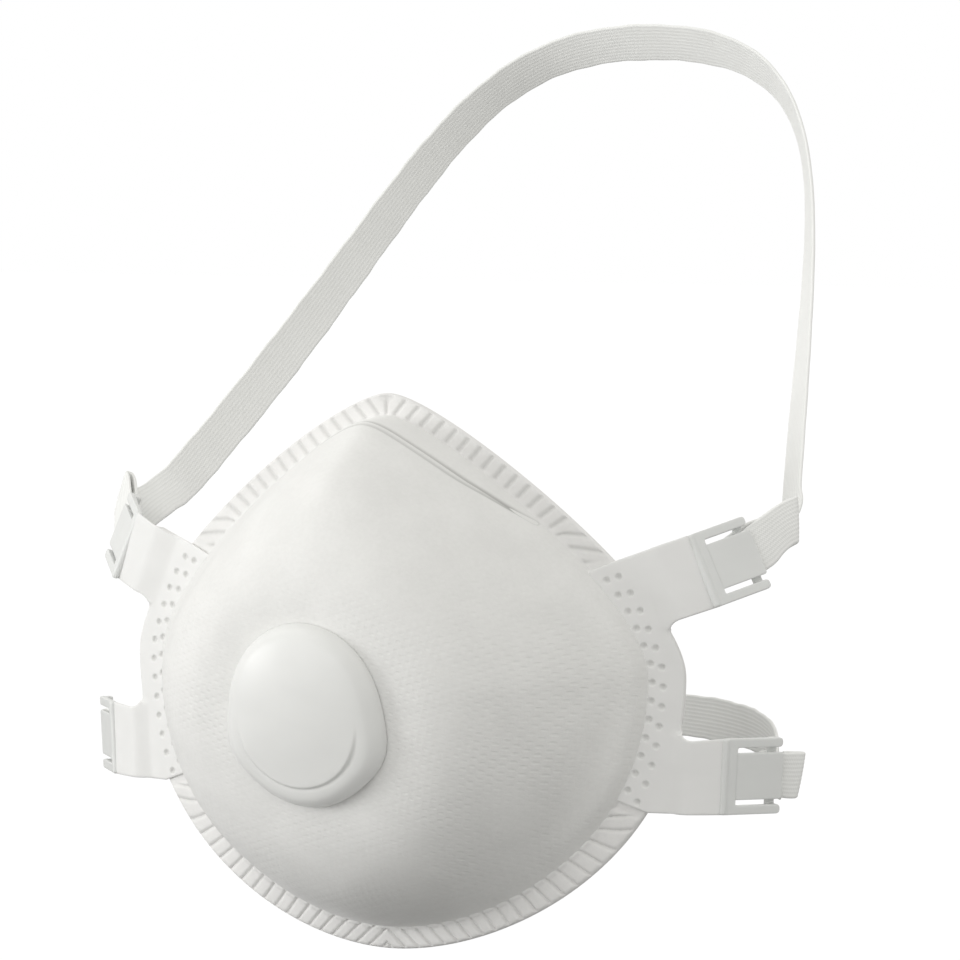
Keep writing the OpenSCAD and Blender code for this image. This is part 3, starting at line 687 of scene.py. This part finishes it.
def crimped_brim():
    """The pressed brim of all the webs: pads, ribs, rounded edge and a flatter back."""
    s, right, along = turns(RIM_COLS)
    band = mix(RIB_BAND, CHEEK_BAND, np.clip(np.abs(outward(s)[:, 0]), 0, 1) ** 6)
    wall_normal, lift = wall_frame(s)[1], wall_ends(s)[2]
    rows, crease_shading = [], []
    # from a little way up the cup's wall, out over the brim, round its edge and back behind
    for c in CLIMB:
        relief, crease = rim_relief(s, along, c, band)
        crease_shading.append(crease)
        height = relief + foot_bead(s, c) - TUCK * smooth((-c - 0.4) / 0.6)
        toward = unit(mix(wall_normal, FORWARD, smooth((c + 1.2) / 1.6)))
        rows.append(dome(s, 1 + c / (3 * lift)) + height[:, None] * toward)
    width = np.linalg.norm(edge(s, 0.0) - edge(s, 1.0), axis=1)
    inner = 1 - RIM_ROUND / width
    for share in np.linspace(0.1, 1, 19):
        f = share * inner
        c = f * width
        relief, crease = rim_relief(s, along, c, width)
        crease_shading.append(crease)
        height = relief + foot_bead(s, c)
        rows.append(on_brim(edge(s, 1 - f)) + height[:, None] * FORWARD)
    for angle in np.radians([30, 60, 90, 120, 150]):
        f = inner + (1 - inner) * math.sin(angle)
        depth = BRIM_STACK / 2 * (1 - math.cos(angle))
        rows.append(on_brim(edge(s, 1 - f)) - depth * FORWARD)
    for share in np.linspace(1, 0.0, 8):
        f = share * inner
        height = BEHIND_RELIEF * rim_relief(s, along, f * width, width)[0]
        depth = BRIM_STACK - BEHIND_GAP * (1 - share) + height
        rows.append(on_brim(edge(s, 1 - f)) - depth[:, None] * FORWARD)
    grid = mirrored(np.stack(rows), right[None, :])
    count = grid.shape[0]
    ids = np.arange(RIM_COLS)
    faces = [grid_quads(count, RIM_COLS), strip_quads((count - 1) * RIM_COLS + ids, ids)]
    obj = new_mesh("crimped_brim", grid.reshape(-1, 3), faces)
    # painted shade of the rib lines, for the brim's material
    marks = np.zeros(grid.shape[:2])
    marks[:len(crease_shading)] = crease_shading
    mark_painted_shade_and_weld_tone(obj, marks)
    finished(obj, "outer_web", ["outer_cover"], look="brim")


# ---- side carriers
def tab_frame(level):
    root_s, length, tilt = TABS[level]
    root = edge(root_s, 0.0)
    along, across = np.array([math.cos(tilt), math.sin(tilt)]), np.array([-math.sin(tilt), math.cos(tilt)])
    return root + length * along, along, across


def wing_rim(s):
    return edge(s, 0.0) + WING_EDGE * outward(s)


def fillet(start, corner, end, steps=7):
    t = np.linspace(0, 1, steps)[:, None]
    return (1 - t) ** 2 * start + 2 * t * (1 - t) * corner + t * t * end


def wing_outline():
    up_ridge, up_along, up_across = tab_frame("upper")
    low_ridge, low_along, low_across = tab_frame("lower")
    foot = np.linspace(WING_BOTTOM, WING_TOP, 50)
    high, low = wing_rim(CORNERS[0]), wing_rim(CORNERS[1])
    half = TAB_W / 2
    parts = [
        [up_ridge + half * up_across, up_ridge - half * up_across],
        fillet(high + FILLET_L * up_along, high, wing_rim(CORNERS[0] + FILLET_S)),
        wing_rim(np.linspace(CORNERS[0] + 1.5 * FILLET_S, CORNERS[1] - 1.5 * FILLET_S, 22)),
        fillet(wing_rim(CORNERS[1] - FILLET_S), low, low + FILLET_L * low_along),
        [low_ridge + half * low_across, low_ridge - half * low_across],
        [wing_rim(WING_BOTTOM)],
        edge(foot, 1.0) + WING_INSET * outward(foot),
        [wing_rim(WING_TOP)],
    ]
    return np.concatenate([np.asarray(p) for p in parts])


def dense(polygon, step):
    """The closed polygon with extra points so that no side is longer than step."""
    out = []
    for a, b in zip(polygon, np.roll(polygon, -1, axis=0)):
        count = max(1, math.ceil(np.linalg.norm(b - a) / step))
        out += [mix(a, b, k / count) for k in range(count)]
    return np.array(out)


def nearest(points, dots):
    """Distance of each point from the nearest dot."""
    return np.linalg.norm(points[:, None] - dots[None], axis=-1).min(1)


def distance_to(points, polygon):
    best = np.full(len(points), 1e9)
    for p, q in zip(polygon, np.roll(polygon, -1, axis=0)):
        d = q - p
        t = np.clip(((points - p) @ d) / (d @ d), 0, 1)
        best = np.minimum(best, np.linalg.norm(points - (p + t[:, None] * d), axis=1))
    return best


def inside(points, polygon):
    x, y = points[:, 0], points[:, 1]
    odd = np.zeros(len(points), bool)
    for p, q in zip(polygon, np.roll(polygon, -1, axis=0)):
        crosses = (p[1] > y) != (q[1] > y)
        with np.errstate(divide="ignore", invalid="ignore"):
            at = p[0] + (y - p[1]) * (q[0] - p[0]) / (q[1] - p[1])
        odd ^= crosses & (x < at)
    return odd


# Weld dots: the rows' pitches, and each ring of mesh points in and round a dot with its point count
WELD_R, WELD_DEEP = 0.95, 0.62
WELD_PITCH_OUTER, WELD_PITCH_INNER = 5.0, 4.7
WELD_RINGS = ((0.0, 1), (0.35, 8), (0.7, 12), (0.9, 16), (1.05, 16), (1.25, 16))
CARRIER_ROUND = 0.38
CREASE, CREASE_AT = 2.0, 8.0


def weld_dots():
    """Centres of the two staggered rows of weld dots, between the tabs' outer corners."""
    fine = np.linspace(WING_TOP + 0.017, WING_BOTTOM - 0.003, 801)
    rise, fall = smooth((fine - 0.34) / 0.11), smooth((fine - 0.53) / 0.1)
    outer = 0.22 + 0.38 * rise - 0.18 * fall
    inner = 0.68 + 0.25 * rise - 0.04 * fall
    rows = []
    for inset, pitch in ((outer, WELD_PITCH_OUTER), (inner, WELD_PITCH_INNER)):
        line = edge(fine, inset)
        length = running_length(line)
        at = np.arange(0, length[-1], pitch)
        rows.append(np.stack([np.interp(at, length, axis) for axis in line.T], -1))
    return np.concatenate(rows)


def tab_crease(points):
    """Forward rise of the soft crease that runs across each tab, between the brim and the ridge."""
    rise = np.zeros(len(points))
    for level, (_, length, _) in TABS.items():
        ridge, along, across = tab_frame(level)
        before = (ridge - points) @ along
        beside = np.abs((points - ridge) @ across)
        beyond = length - 1 - before
        slope = np.clip(np.minimum(before / CREASE_AT, beyond / (length - 1 - CREASE_AT)), 0, 1)
        rise = np.maximum(rise, CREASE * (slope - 0.12 * slope ** 6) * (beside < TAB_W / 2 + 0.5))
    return rise


def inward_normals(polygon):
    """Unit normals at the corners of a closed polygon, pointing inside."""
    after = np.roll(polygon, -1, axis=0)
    n = after - np.roll(polygon, 1, axis=0)
    area = np.sum(polygon[:, 0] * after[:, 1] - after[:, 0] * polygon[:, 1])
    return unit(np.stack([-n[:, 1], n[:, 0]], -1)) * np.sign(area)


def wing_mesh(hand, side):
    """The carrier sheet: rounded edges, and the weld dots pressed into its face."""
    rim = dense(wing_outline(), 0.9)
    dots = weld_dots()
    extra = []
    for shrink in (0.12, 0.3, 0.6):
        moved = rim + shrink * inward_normals(rim)
        extra.append(moved[inside(moved, rim) & (distance_to(moved, rim) > 0.8 * shrink)])
    low, high = rim.min(0), rim.max(0)
    gx, gy = np.meshgrid(np.arange(low[0], high[0], 1.1), np.arange(low[1], high[1], 0.95))
    gx = gx + 0.55 * (np.arange(gx.shape[0]) % 2)[:, None]
    field = np.stack([gx.ravel(), gy.ravel()], -1)
    bare = nearest(field, dots) > WELD_R + 0.5
    extra.append(field[inside(field, rim) & (distance_to(field, rim) > 0.9) & bare])
    for radius, count in WELD_RINGS:
        turn = np.arange(count) * 2 * math.pi / count
        ring = radius * np.stack([np.cos(turn), np.sin(turn)], -1)
        around = (dots[:, None] + ring[None]).reshape(-1, 2)
        extra.append(around[inside(around, rim) & (distance_to(around, rim) > 0.15)])
    points = [Vector(p) for p in np.concatenate([rim] + extra)]
    sides = [(k, (k + 1) % len(rim)) for k in range(len(rim))]
    flat, _, tris, *_ = delaunay_2d_cdt(points, sides, [], 1, 1e-4)
    flat = np.array([list(p) for p in flat])
    tris = np.array([t for t in tris if len(t) == 3])
    loop = np.array([np.argmin(np.linalg.norm(flat - corner, axis=1)) for corner in rim])
    soft = WING_T / 2 * rounding(1 - np.minimum(distance_to(flat, rim) / CARRIER_ROUND, 1))
    dent = WELD_DEEP * smooth((WELD_R + 0.15 - nearest(flat, dots)) / 0.8)
    off_fold = tab_crease(flat)

    def place(off):
        r = SADDLE_R + WING_GAP + off + off_fold
        return np.stack([flat[:, 0], SADDLE_R - np.sqrt(r * r - flat[:, 0] ** 2), flat[:, 1]], -1)
    both = np.concatenate([place(WING_T - soft - dent), place(soft)])
    both[:, 0] *= side
    n = len(flat)
    obj = new_mesh(f"carrier_{hand}", both, [tris, tris[:, ::-1] + n, strip_quads(loop, loop + n)])
    # the weld dents get painted shade, together with the welds' darker pressed tone
    mark_painted_shade_and_weld_tone(obj, np.concatenate([dent, 0 * dent]) * 0.75 / WELD_DEEP)
    bm = bmesh.new()
    bm.from_mesh(obj.data)
    bmesh.ops.remove_doubles(bm, verts=bm.verts, dist=1e-6)
    bm.to_mesh(obj.data)
    bm.free()
    finished(obj, "carrier", [f"wing_{hand}"])


# ---- buckles
RIDGE_R, BASE_L, BUCKLE_L, BUCKLE_T, RAIL_W, SLOT_W = 1.0, 3.3, 16, 1.3, 2.4, 1.3
TONGUE_W = TAB_W - 2 * (RAIL_W + SLOT_W)
BAR_L, BAR_T, BAR_FROM_END = 2.7, 0.8, 0.5
BAR_TOP = STRAP_Z - STRAP_T / 2 - 0.15
TONGUE_TOP, TONGUE_T, TONGUE_OVER = 0.6, 0.95, 0.3
GRIPS_AT, GRIP_W = (9.0, 10.6, 12.2), 0.5


def ridge_place(level, side):
    """Origin and axes of a buckle: x out from the ridge, y along it, z to the front."""
    ridge, (ca, sa), _ = tab_frame(level)
    origin = np.array([ridge[0], sag(ridge[0]) - WING_GAP - WING_T / 2, ridge[1]])
    cb, sb = math.cos(FOLD), math.sin(FOLD)
    axes = np.array([[cb * ca, sb, cb * sa], [-sa, 0, ca], [sb * ca, -cb, sb * sa]])
    flip = np.array([side, 1, 1])
    return origin * flip, axes * flip


def placed(local, level, side):
    origin, axes = ridge_place(level, side)
    return origin + np.asarray(local) @ axes


def rounded_polygon(corners, radii, steps=6):
    out = []
    count = len(corners)
    for k in range(count):
        p, q, r = (np.array(corners[(k + j) % count], float) for j in (-1, 0, 1))
        rad = radii[k]
        if rad == 0:
            out.append(q[None])
            continue
        a, b = q + rad * unit(p - q), q + rad * unit(r - q)
        out.append(fillet(a, q, b, steps))
    return np.concatenate(out)


def rounded_box(x0, x1, y0, y1, radius):
    return rounded_polygon([(x0, y0), (x1, y0), (x1, y1), (x0, y1)], [radius] * 4, 4)


def capped(grid):
    """Points and faces of stacked loops, closed by one flat face at both ends."""
    rows, count = grid.shape[:2]
    faces = grid_quads(rows, count).tolist()
    faces += [list(range(count)), list(range((rows - 1) * count, rows * count))]
    return grid.reshape(-1, 3), faces


def prism(polygon, low, high, soft):
    """Points and faces of a polygon plate with its edges rounded by soft."""
    inward = inward_normals(polygon)
    rows = []
    for base, way, angles in ((high, -1, (0, 30, 60, 90)), (low, 1, (90, 60, 30, 0))):
        for angle in np.radians(angles):
            ring = polygon + soft * (1 - math.sin(angle)) * inward
            z = base + way * soft * (1 - math.cos(angle))
            rows.append(np.column_stack([ring, np.full(len(ring), z)]))
    return capped(np.stack(rows))


def moulded(name, solids, voxel):
    """Joins overlapping solids into one moulded skin, with softened inside corners; the mesh is in mm."""
    points, faces, start = [], [], 0
    for p, f in solids:
        points.append(p)
        faces += [[i + start for i in face] for face in f]
        start += len(p)
    obj = linked(name, outward_mesh(name, np.concatenate(points), faces))
    remesh = obj.modifiers.new("skin", "REMESH")
    remesh.mode = "VOXEL"
    remesh.voxel_size = voxel
    soften = obj.modifiers.new("soften", "SMOOTH")
    soften.factor, soften.iterations = 0.5, 3
    done = bpy.data.meshes.new_from_object(obj.evaluated_get(bpy.context.evaluated_depsgraph_get()))
    bpy.data.objects.remove(obj)
    out = np.zeros(len(done.vertices) * 3)
    done.vertices.foreach_get("co", out)
    quads = np.array([list(p.vertices) for p in done.polygons if len(p.vertices) == 4])
    bpy.data.meshes.remove(done)
    return out.reshape(-1, 3), quads


def ridge_bead():
    """The thick bead where the tab folds, with rounded ends."""
    turn = np.linspace(0, 2 * math.pi, 28, endpoint=False)
    half = TAB_W / 2
    ends = [(-half, 0.55), (-half + 0.12, 0.82), (-half + 0.4, 1.0)]
    rows = ends + [(y, 1.0) for y in np.linspace(-half + 1.5, half - 1.5, 12)]
    rows += [(-y, r) for y, r in reversed(ends)]
    ring = RIDGE_R * np.column_stack([np.cos(turn), 0 * turn, np.sin(turn)])
    return capped(np.stack([ring * r + np.array([0, y, 0]) for y, r in rows]))


def buckle_solids():
    """The forked frame, its ridge bead and the bar on its two feet."""
    half, out = TAB_W / 2, BUCKLE_L
    gap = half - RAIL_W
    corners, radii = [(0, -half), (out, -half), (out, -gap), (BASE_L, -gap)], [0, 1.1, 1.1, 0.25]
    corners += [(x, -y) for x, y in reversed(corners)]
    plate = prism(rounded_polygon(corners, radii + radii[::-1]), -BUCKLE_T / 2, BUCKLE_T / 2, 0.2)
    bar_x = out - BAR_FROM_END - BAR_L
    side = half - 0.1
    bar = prism(rounded_box(bar_x, bar_x + BAR_L, -side, side, 0.5), BAR_TOP - BAR_T, BAR_TOP, 0.25)
    feet = [prism(rounded_box(bar_x, bar_x + BAR_L, low, high, 0.3), BAR_TOP - BAR_T + 0.1, 0.2, 0.2)
            for low, high in ((-side, -gap - 0.1), (gap + 0.1, side))]
    return [plate, ridge_bead(), bar] + feet


def tongue_solids():
    """The clamp's plate, with grip ribs underneath."""
    start, end = BASE_L - 0.4, BUCKLE_L + TONGUE_OVER
    half = TONGUE_W / 2
    corners = [(start, -half), (end, -half), (end, half), (start, half)]
    under = TONGUE_TOP - TONGUE_T
    plate = prism(rounded_polygon(corners, [0.2, 0.7, 0.7, 0.2]), under, TONGUE_TOP, 0.22)
    grips = [prism(rounded_box(x, x + GRIP_W, 1 - half, half - 1, 0.2), under - 0.1, TONGUE_TOP - 0.3, 0.08)
             for x in GRIPS_AT]
    return [plate] + grips


def buckles():
    frame_points, frame_quads = moulded("buckle_skin", buckle_solids(), 0.2)
    tongue_points, tongue_quads = moulded("tongue_skin", tongue_solids(), 0.16)
    for level in TABS:
        for hand, side in SIDES.items():
            for name, node, body, points, quads in (
                    ("clasp", "buckle", "root", frame_points, frame_quads),
                    ("clamp", "tongue", f"tongue_{level}_{hand}", tongue_points, tongue_quads)):
                obj = new_mesh(f"{name}_{level}_{hand}", placed(points, level, side), [quads], sharp=60)
                finished(obj, "buckle_plastic", [f"{node}_{level}_{hand}"], body)


# ---- elastic straps
# Paths in mm: base, crown and their handles in the frame; x positions and rises in the buckle
HEAD = dict(level="upper", base=(88, 55.6, 43), lean=(-29.5, 92, 75), crown=(0, 172, 161), handle=61,
            leg=(0.6, -0.78, 0.15), top=(0, -0.5, 0.86), curl_x=30.0, tail_x=20.5, tail_rise=4.2,
            main_rise=3.6, skew=0.42)
NECK = dict(level="lower", base=(90, 42, -26), lean=(-7.3, 22.6, 8.2), crown=(0, 108, -21), handle=59,
            leg=(-0.1, 0, 1), top=(0, 0, 1), curl_x=21.6, tail_x=17.5, tail_rise=-0.4,
            main_rise=0.6, skew=0.15)
BAR_BACK = STRAP_Z - 2.1
CURL_R = (STRAP_Z - BAR_BACK) / 2
WRAP_X, RISE_FROM, SKEW_FROM = 12.2, 12, 15


def band_path(strap):
    """Right half of a band: free end, curl, under the tongue, round the bar, out behind, up to the middle."""
    level, curl_x, main_rise = strap["level"], strap["curl_x"], strap["main_rise"]
    turn = np.linspace(0, math.pi, 14)[1:-1]
    rise = strap["tail_rise"]
    local = []

    def lift(x):
        return rise * smooth((x - RISE_FROM) / (curl_x - RISE_FROM))
    for x in np.linspace(strap["tail_x"], curl_x, 10):
        local.append((x, lift(x), BAR_BACK))
    for a in turn:
        local.append((curl_x + CURL_R * math.sin(a), rise, BAR_BACK + CURL_R * (1 - math.cos(a))))
    for x in np.linspace(curl_x, WRAP_X, 22):
        local.append((x, lift(x), STRAP_Z))
    for a in turn:
        local.append((WRAP_X - CURL_R * math.sin(a), main_rise * 0.25 * a / math.pi,
                      STRAP_Z - CURL_R * (1 - math.cos(a))))
    local = np.array(local)
    points = placed(local, level, 1)
    _, axes = ridge_place(level, 1)
    skew = strap["skew"] * smooth((local[:, 0] - SKEW_FROM) / (curl_x - SKEW_FROM))[:, None] * axes[0]
    keys = ("base", "lean", "crown", "leg", "top")
    base, run, crown, leg, top = (np.array(strap[key], float) for key in keys)
    leave = placed((WRAP_X + 0.3, main_rise * 0.3, BAR_BACK), level, 1)
    pull = np.linalg.norm(base - leave) / 3.2
    out = unit(axes[0] + 0.25 * main_rise / 3.6 * axes[1])
    t = np.linspace(0, 1, 26)[:-1, None]
    free = bez(leave, leave + pull * out, base - pull * unit(run), base, t)
    far = np.linspace(0, 1, 90)[:, None]
    arch = bez(base, base + run, crown + np.array([strap["handle"], 0, 0]), crown, far)
    across = np.broadcast_to(axes[1], points.shape)
    wants = np.concatenate([across, mix(axes[1], leg, smooth(1.5 * t)), mix(leg, top, smooth(far))])
    skews = np.concatenate([skew, np.zeros((len(t) + len(far), 3))])
    return np.concatenate([points, free, arch]), wants, skews


def band_sections(path, wants, skews):
    """Cross-section loops of a ribbed band along a path; skews shift its upper edge sideways."""
    dirs = unit(np.gradient(path, axis=0))
    sides = unit(wants - np.sum(wants * dirs, axis=1, keepdims=True) * dirs)
    ups = np.cross(dirs, sides)
    e = np.linspace(-0.5, 0.5, RIBS * 4 + 1)
    ribbed = 0.40 + 0.09 * np.abs(np.sin(np.pi * RIBS * (e + 0.5))) ** 0.7
    ribbed[[0, -1]] = 0.16
    ribbed[[1, -2]] = 0.42
    across = np.concatenate([e, e[::-1]]) * STRAP_W
    height = np.concatenate([ribbed, -ribbed[::-1]]) * STRAP_T
    along = running_length(path)
    wander = 0.10 * np.sin(along / 3.1) + 0.07 * np.sin(along / 1.27 + 1.1)
    cup = 0.25 * np.sin(along / 41 + 0.5)
    width = 1 + 0.012 * np.sin(along / 13)
    bow = (across / (STRAP_W / 2)) ** 2
    sideways = across[None] * width[:, None] + wander[:, None] * np.sign(across)[None] * bow[None]
    outwards = height[None] + cup[:, None] * (bow[None] - 0.4)
    loops = (path[:, None] + sideways[..., None] * sides[:, None] + outwards[..., None] * ups[:, None]
             + across[None, :, None] * skews[:, None])
    uv = np.stack(np.broadcast_arrays(across[None], along[:, None]), -1)
    return loops, uv.reshape(-1, 2)


def band(name, strap, start, end):
    """A whole band; start and end are not used."""
    path, wants, skews = (np.concatenate([half, half[-2::-1] * MIRROR]) for half in band_path(strap))
    # the corners between the pieces of the path are eased
    for _ in range(2):
        inner = path.copy()
        inner[1:-1] = 0.25 * path[:-2] + 0.5 * path[1:-1] + 0.25 * path[2:]
        path = inner
    loops, uv = band_sections(path, wants, skews)
    obj = tube_mesh(f"{name}_elastic", loops, uvs=uv, sharp=75)
    strap_body = f"{name}_strap"
    nodes = [strap_body, f"{strap_body}_end_right", f"{strap_body}_end_left"]
    finished(obj, "elastic", nodes, body=None)
    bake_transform(obj)


# ---- valve
COVER_H, COVER_WALL, DISC_R, DISC_DROP = 9.0, 1.1, 16.0, 1.0
COVER_R, COVER_OVAL, HIP, HIP_AT, HIP_W = 21.9, 1.3, 1.6, 115, 22
VENT_RISE, VENT_HALF = 1.3, 52


def at_port(local):
    """Points of the port frame: x sideways, y up, z out of the cup."""
    return PORT + np.asarray(local) @ np.array([[1, 0, 0], PORT_UP, PORT_OUT])


def b_spline(points, samples):
    """Cubic B-spline through rows of control points, with its ends at the first and last ones."""
    ctrl = np.concatenate([points[:1], points[:1], points, points[-1:], points[-1:]])
    out = []
    for k in range(len(ctrl) - 3):
        p0, p1, p2, p3 = ctrl[k:k + 4]
        for t in np.arange(samples) / samples:
            out.append(((1 - t) ** 3 * p0 + (3 * t ** 3 - 6 * t * t + 4) * p1
                        + (-3 * t ** 3 + 3 * t * t + 3 * t + 1) * p2 + t ** 3 * p3) / 6)
    out.append(points[-1])
    return np.array(out)


def valve_cover():
    """The spun cover: an uneven rim lifted at the vent, and a crescent ledge below the middle disc."""
    count = 240
    deg = np.arange(count) * 360 / count
    a = np.radians(deg)
    rim = COVER_R + COVER_OVAL * np.cos(2 * a) + HIP * gauss(np.minimum(deg, 360 - deg) - HIP_AT, HIP_W)
    disc = -DISC_DROP * np.cos(a) + np.sqrt(DISC_R ** 2 - (DISC_DROP * np.sin(a)) ** 2)
    vent = VENT_RISE * smooth((VENT_HALF - np.abs(deg - 180)) / 12)
    step = smooth((92 - np.abs(deg - 180)) / 40)
    h = COVER_H
    rows = [(rim - 0.05, 0.15 + vent), (rim, 0.45 + vent), (rim - 0.1, 1.7 + 0 * a)]
    for inwards, share in ((0.45, 0.34), (1.1, 0.47), (2.0, 0.57), (3.0, 0.65)):
        rows.append((rim - inwards, share * h + 0 * a))
    ledge = [(mix(rim - 3, disc, 0.6), -0.01)]
    for off, rise in ((0.75, -0.035), (0.28, -0.045), (0.05, -0.02), (-0.22, 0.03), (-0.7, 0.03)):
        ledge.append((disc + off, rise))
    for share, rise in ((0.88, 0.015), (0.72, 0), (0.5, 0), (0.28, 0), (0.1, 0), (0.015, 0)):
        ledge.append((share * disc, rise))
    for radius, offset in ledge:
        rows.append((radius, h * (1 - 0.35 * (radius / (rim - 3)) ** 2.2 + offset * step)))
    ctrl = np.array([[r, z] for r, z in rows]).transpose(0, 2, 1)
    outer = b_spline(ctrl, 4)
    inner = outer[::3].copy()
    skirt = smooth((inner[..., 0] - (rim - 3)) / 3)
    inner[..., 0] -= COVER_WALL * skirt
    inner[..., 1] -= COVER_WALL * (1 - 0.9 * smooth((inner[..., 0] - rim + 2.2) / 1.6))
    inner[0, :, 1] = outer[0, :, 1]

    def spun(profile):
        radius, height = profile[..., 0], profile[..., 1]
        return at_port(np.stack([radius * np.sin(a), radius * np.cos(a), height], -1))
    front, back = spun(outer), spun(inner)
    f, b = front.shape[0] * count, back.shape[0] * count
    ids = np.arange(count)
    faces = [grid_quads(front.shape[0], count), grid_quads(back.shape[0], count, f),
             strip_quads(ids, f + ids)]
    tips = at_port([[0, 0, h], [0, 0, h - COVER_WALL]])
    for tip, last in ((f + b, f - count), (f + b + 1, f + b - count)):
        faces.append(np.stack([last + ids, last + np.roll(ids, -1), np.full(count, tip)], -1))
    points = np.concatenate([front.reshape(-1, 3), back.reshape(-1, 3), tips])
    obj = new_mesh("exhalation_cover", points, faces, sharp=50)
    finished(obj, "cover_plastic", ["valve_cover"])


# ---- nose foam
FOAM_T, FOAM_GAP, FOAM_END = 3.0, 0.1, 8 / 28
FOAM_LOW, FOAM_HIGH = 0.8875, 0.9875


def nose_foam():
    """A crowned soft strip on the lining, with rounded ends and pressed edges."""
    u = np.linspace(-1, 1, 90)
    s = np.abs(u) * FOAM_END
    taper = np.clip(1 - np.abs(u) ** 24, 0, 1) ** 0.5
    turn = np.linspace(0, 2 * math.pi, 36, endpoint=False)
    loops = []
    for a in turn:
        c, d = math.cos(a), math.sin(a)
        f = 0.5 + 0.5 * np.sign(c) * abs(c) ** 0.55 * taper
        lift = 0.5 + 0.5 * np.sign(d) * abs(d) ** 0.6 * taper
        v = mix(FOAM_LOW, FOAM_HIGH, f)
        k = crimping(v)
        deep = mix(STACK + FOAM_GAP + pocket(s, v), BRIM_STACK + FOAM_GAP, k) + lift * FOAM_T
        cup = dome(s, v)
        loops.append(cup + deep[:, None] * into_cup(cup, k))
    grid = mirrored(np.stack(loops, 1), (u >= 0)[:, None])
    grid = grid + 0.08 * ripple(grid, 7, 3)[..., None] * FORWARD
    obj = tube_mesh("nose_pad", grid, sharp=70)
    finished(obj, "foam", ["nose_foam"])


# ---- CAD nodes that stay
def kept_nodes():
    """Rigid CAD solids whose shape is right: softened edges and their own materials."""
    finishes = {"nose_clip": "clip_metal", "valve_seat": "valve_plastic", "valve_ring": "valve_plastic",
                "valve_flap": "flap_rubber"}
    for node, look in finishes.items():
        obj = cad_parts[node]
        dress(obj, look)
        weld = obj.modifiers.new("weld", "WELD")
        weld.merge_threshold = 1e-6
        bevel = obj.modifiers.new("soft_edges", "BEVEL")
        bevel.width = 0.15 * MM
        bevel.segments = 2
        bevel.limit_method = "ANGLE"
        bevel.angle_limit = math.radians(50)


# ---- studio
AZIMUTH, ELEVATION, DISTANCE = math.radians(26), math.radians(7), 1.2
LENS, AIM_RIGHT, AIM_UP = 177, 0.0237, 0.0488
LIGHT_DISTANCE, LIGHT_AIM = 1.5, Vector((0, 0.03, 0.03))
FLOOR_GAP = 0.003


def coloured(tree, kind, colour, strength=None):
    """The output of a new plain shader node."""
    node = tree.nodes.new(kind)
    node.inputs["Color"].default_value = (*colour, 1)
    if strength is not None:
        node.inputs["Strength"].default_value = strength
    return node.outputs[0]


def by_camera_ray(tree, unseen, seen, output):
    """Shows the camera one shader, and lights the scene with another."""
    path, blend = tree.nodes.new("ShaderNodeLightPath"), tree.nodes.new("ShaderNodeMixShader")
    tree.links.new(path.outputs["Is Camera Ray"], blend.inputs["Fac"])
    tree.links.new(unseen, blend.inputs[1])
    tree.links.new(seen, blend.inputs[2])
    tree.links.new(blend.outputs[0], tree.nodes.new(output).inputs["Surface"])


def area_light(name, direction, size, power):
    light = bpy.data.lights.new(name, "AREA")
    light.shape, light.size, light.energy = "DISK", size, power
    obj = linked(name, light)
    obj.location = direction.normalized() * LIGHT_DISTANCE + LIGHT_AIM
    obj.rotation_euler = (-direction).to_track_quat("-Z", "Y").to_euler()


def studio():
    scene = bpy.context.scene
    scene.view_settings.view_transform = "Standard"
    level = math.cos(ELEVATION)
    back = Vector((math.sin(AZIMUTH) * level, -math.cos(AZIMUTH) * level, math.sin(ELEVATION)))
    right = Vector((math.cos(AZIMUTH), math.sin(AZIMUTH), 0))
    up = back.cross(right)
    camera = linked("camera", bpy.data.cameras.new("camera"))
    camera.data.lens = LENS
    camera.data.clip_start, camera.data.clip_end = 0.05, 50
    camera.location = back * DISTANCE
    aim = right * AIM_RIGHT + up * AIM_UP
    camera.rotation_mode = "QUATERNION"
    camera.rotation_quaternion = (aim - camera.location).to_track_quat("-Z", "Y")
    scene.camera = camera
    area_light("key", Vector((-0.78, -0.62, 0.08)), 0.7, 7.9)
    area_light("front", back * 0.8 - right * 0.5, 1.2, 3.2)

    scene.world = bpy.data.worlds.new("studio")
    tree = blank_tree(scene.world)
    lit = coloured(tree, "ShaderNodeBackground", (1, 0.992, 0.962), 0.84)
    shown = coloured(tree, "ShaderNodeBackground", (1, 1, 1), 1.0)
    by_camera_ray(tree, lit, shown, "ShaderNodeOutputWorld")

    bpy.ops.mesh.primitive_plane_add(size=8, location=(0, 0, -HALF_H * MM - FLOOR_GAP))
    floor = bpy.context.active_object
    floor.name = "floor"
    pale = bpy.data.materials.new("pale_floor")
    tree = blank_tree(pale)
    glow = coloured(tree, "ShaderNodeEmission", (1, 1, 1), 0.97)
    soft = coloured(tree, "ShaderNodeBsdfDiffuse", (0.08, 0.08, 0.08))
    matt = coloured(tree, "ShaderNodeBsdfDiffuse", (0.4, 0.4, 0.4))
    add = tree.nodes.new("ShaderNodeAddShader")
    tree.links.new(glow, add.inputs[0])
    tree.links.new(soft, add.inputs[1])
    by_camera_ray(tree, matt, add.outputs[0], "ShaderNodeOutputMaterial")
    floor.data.materials.append(pale)


def build():
    outer_skin()
    crimped_brim()
    for name in LAYERS:
        inner_web(name)
    for hand, side in SIDES.items():
        wing_mesh(hand, side)
    buckles()
    band("head", HEAD, (0, 0.045, 0.034), (0, 0.066, 0.052))
    band("neck", NECK, (0, 0.034, -0.028), (0, 0.052, -0.023))
    valve_cover()
    nose_foam()
    kept_nodes()
    studio()


build()
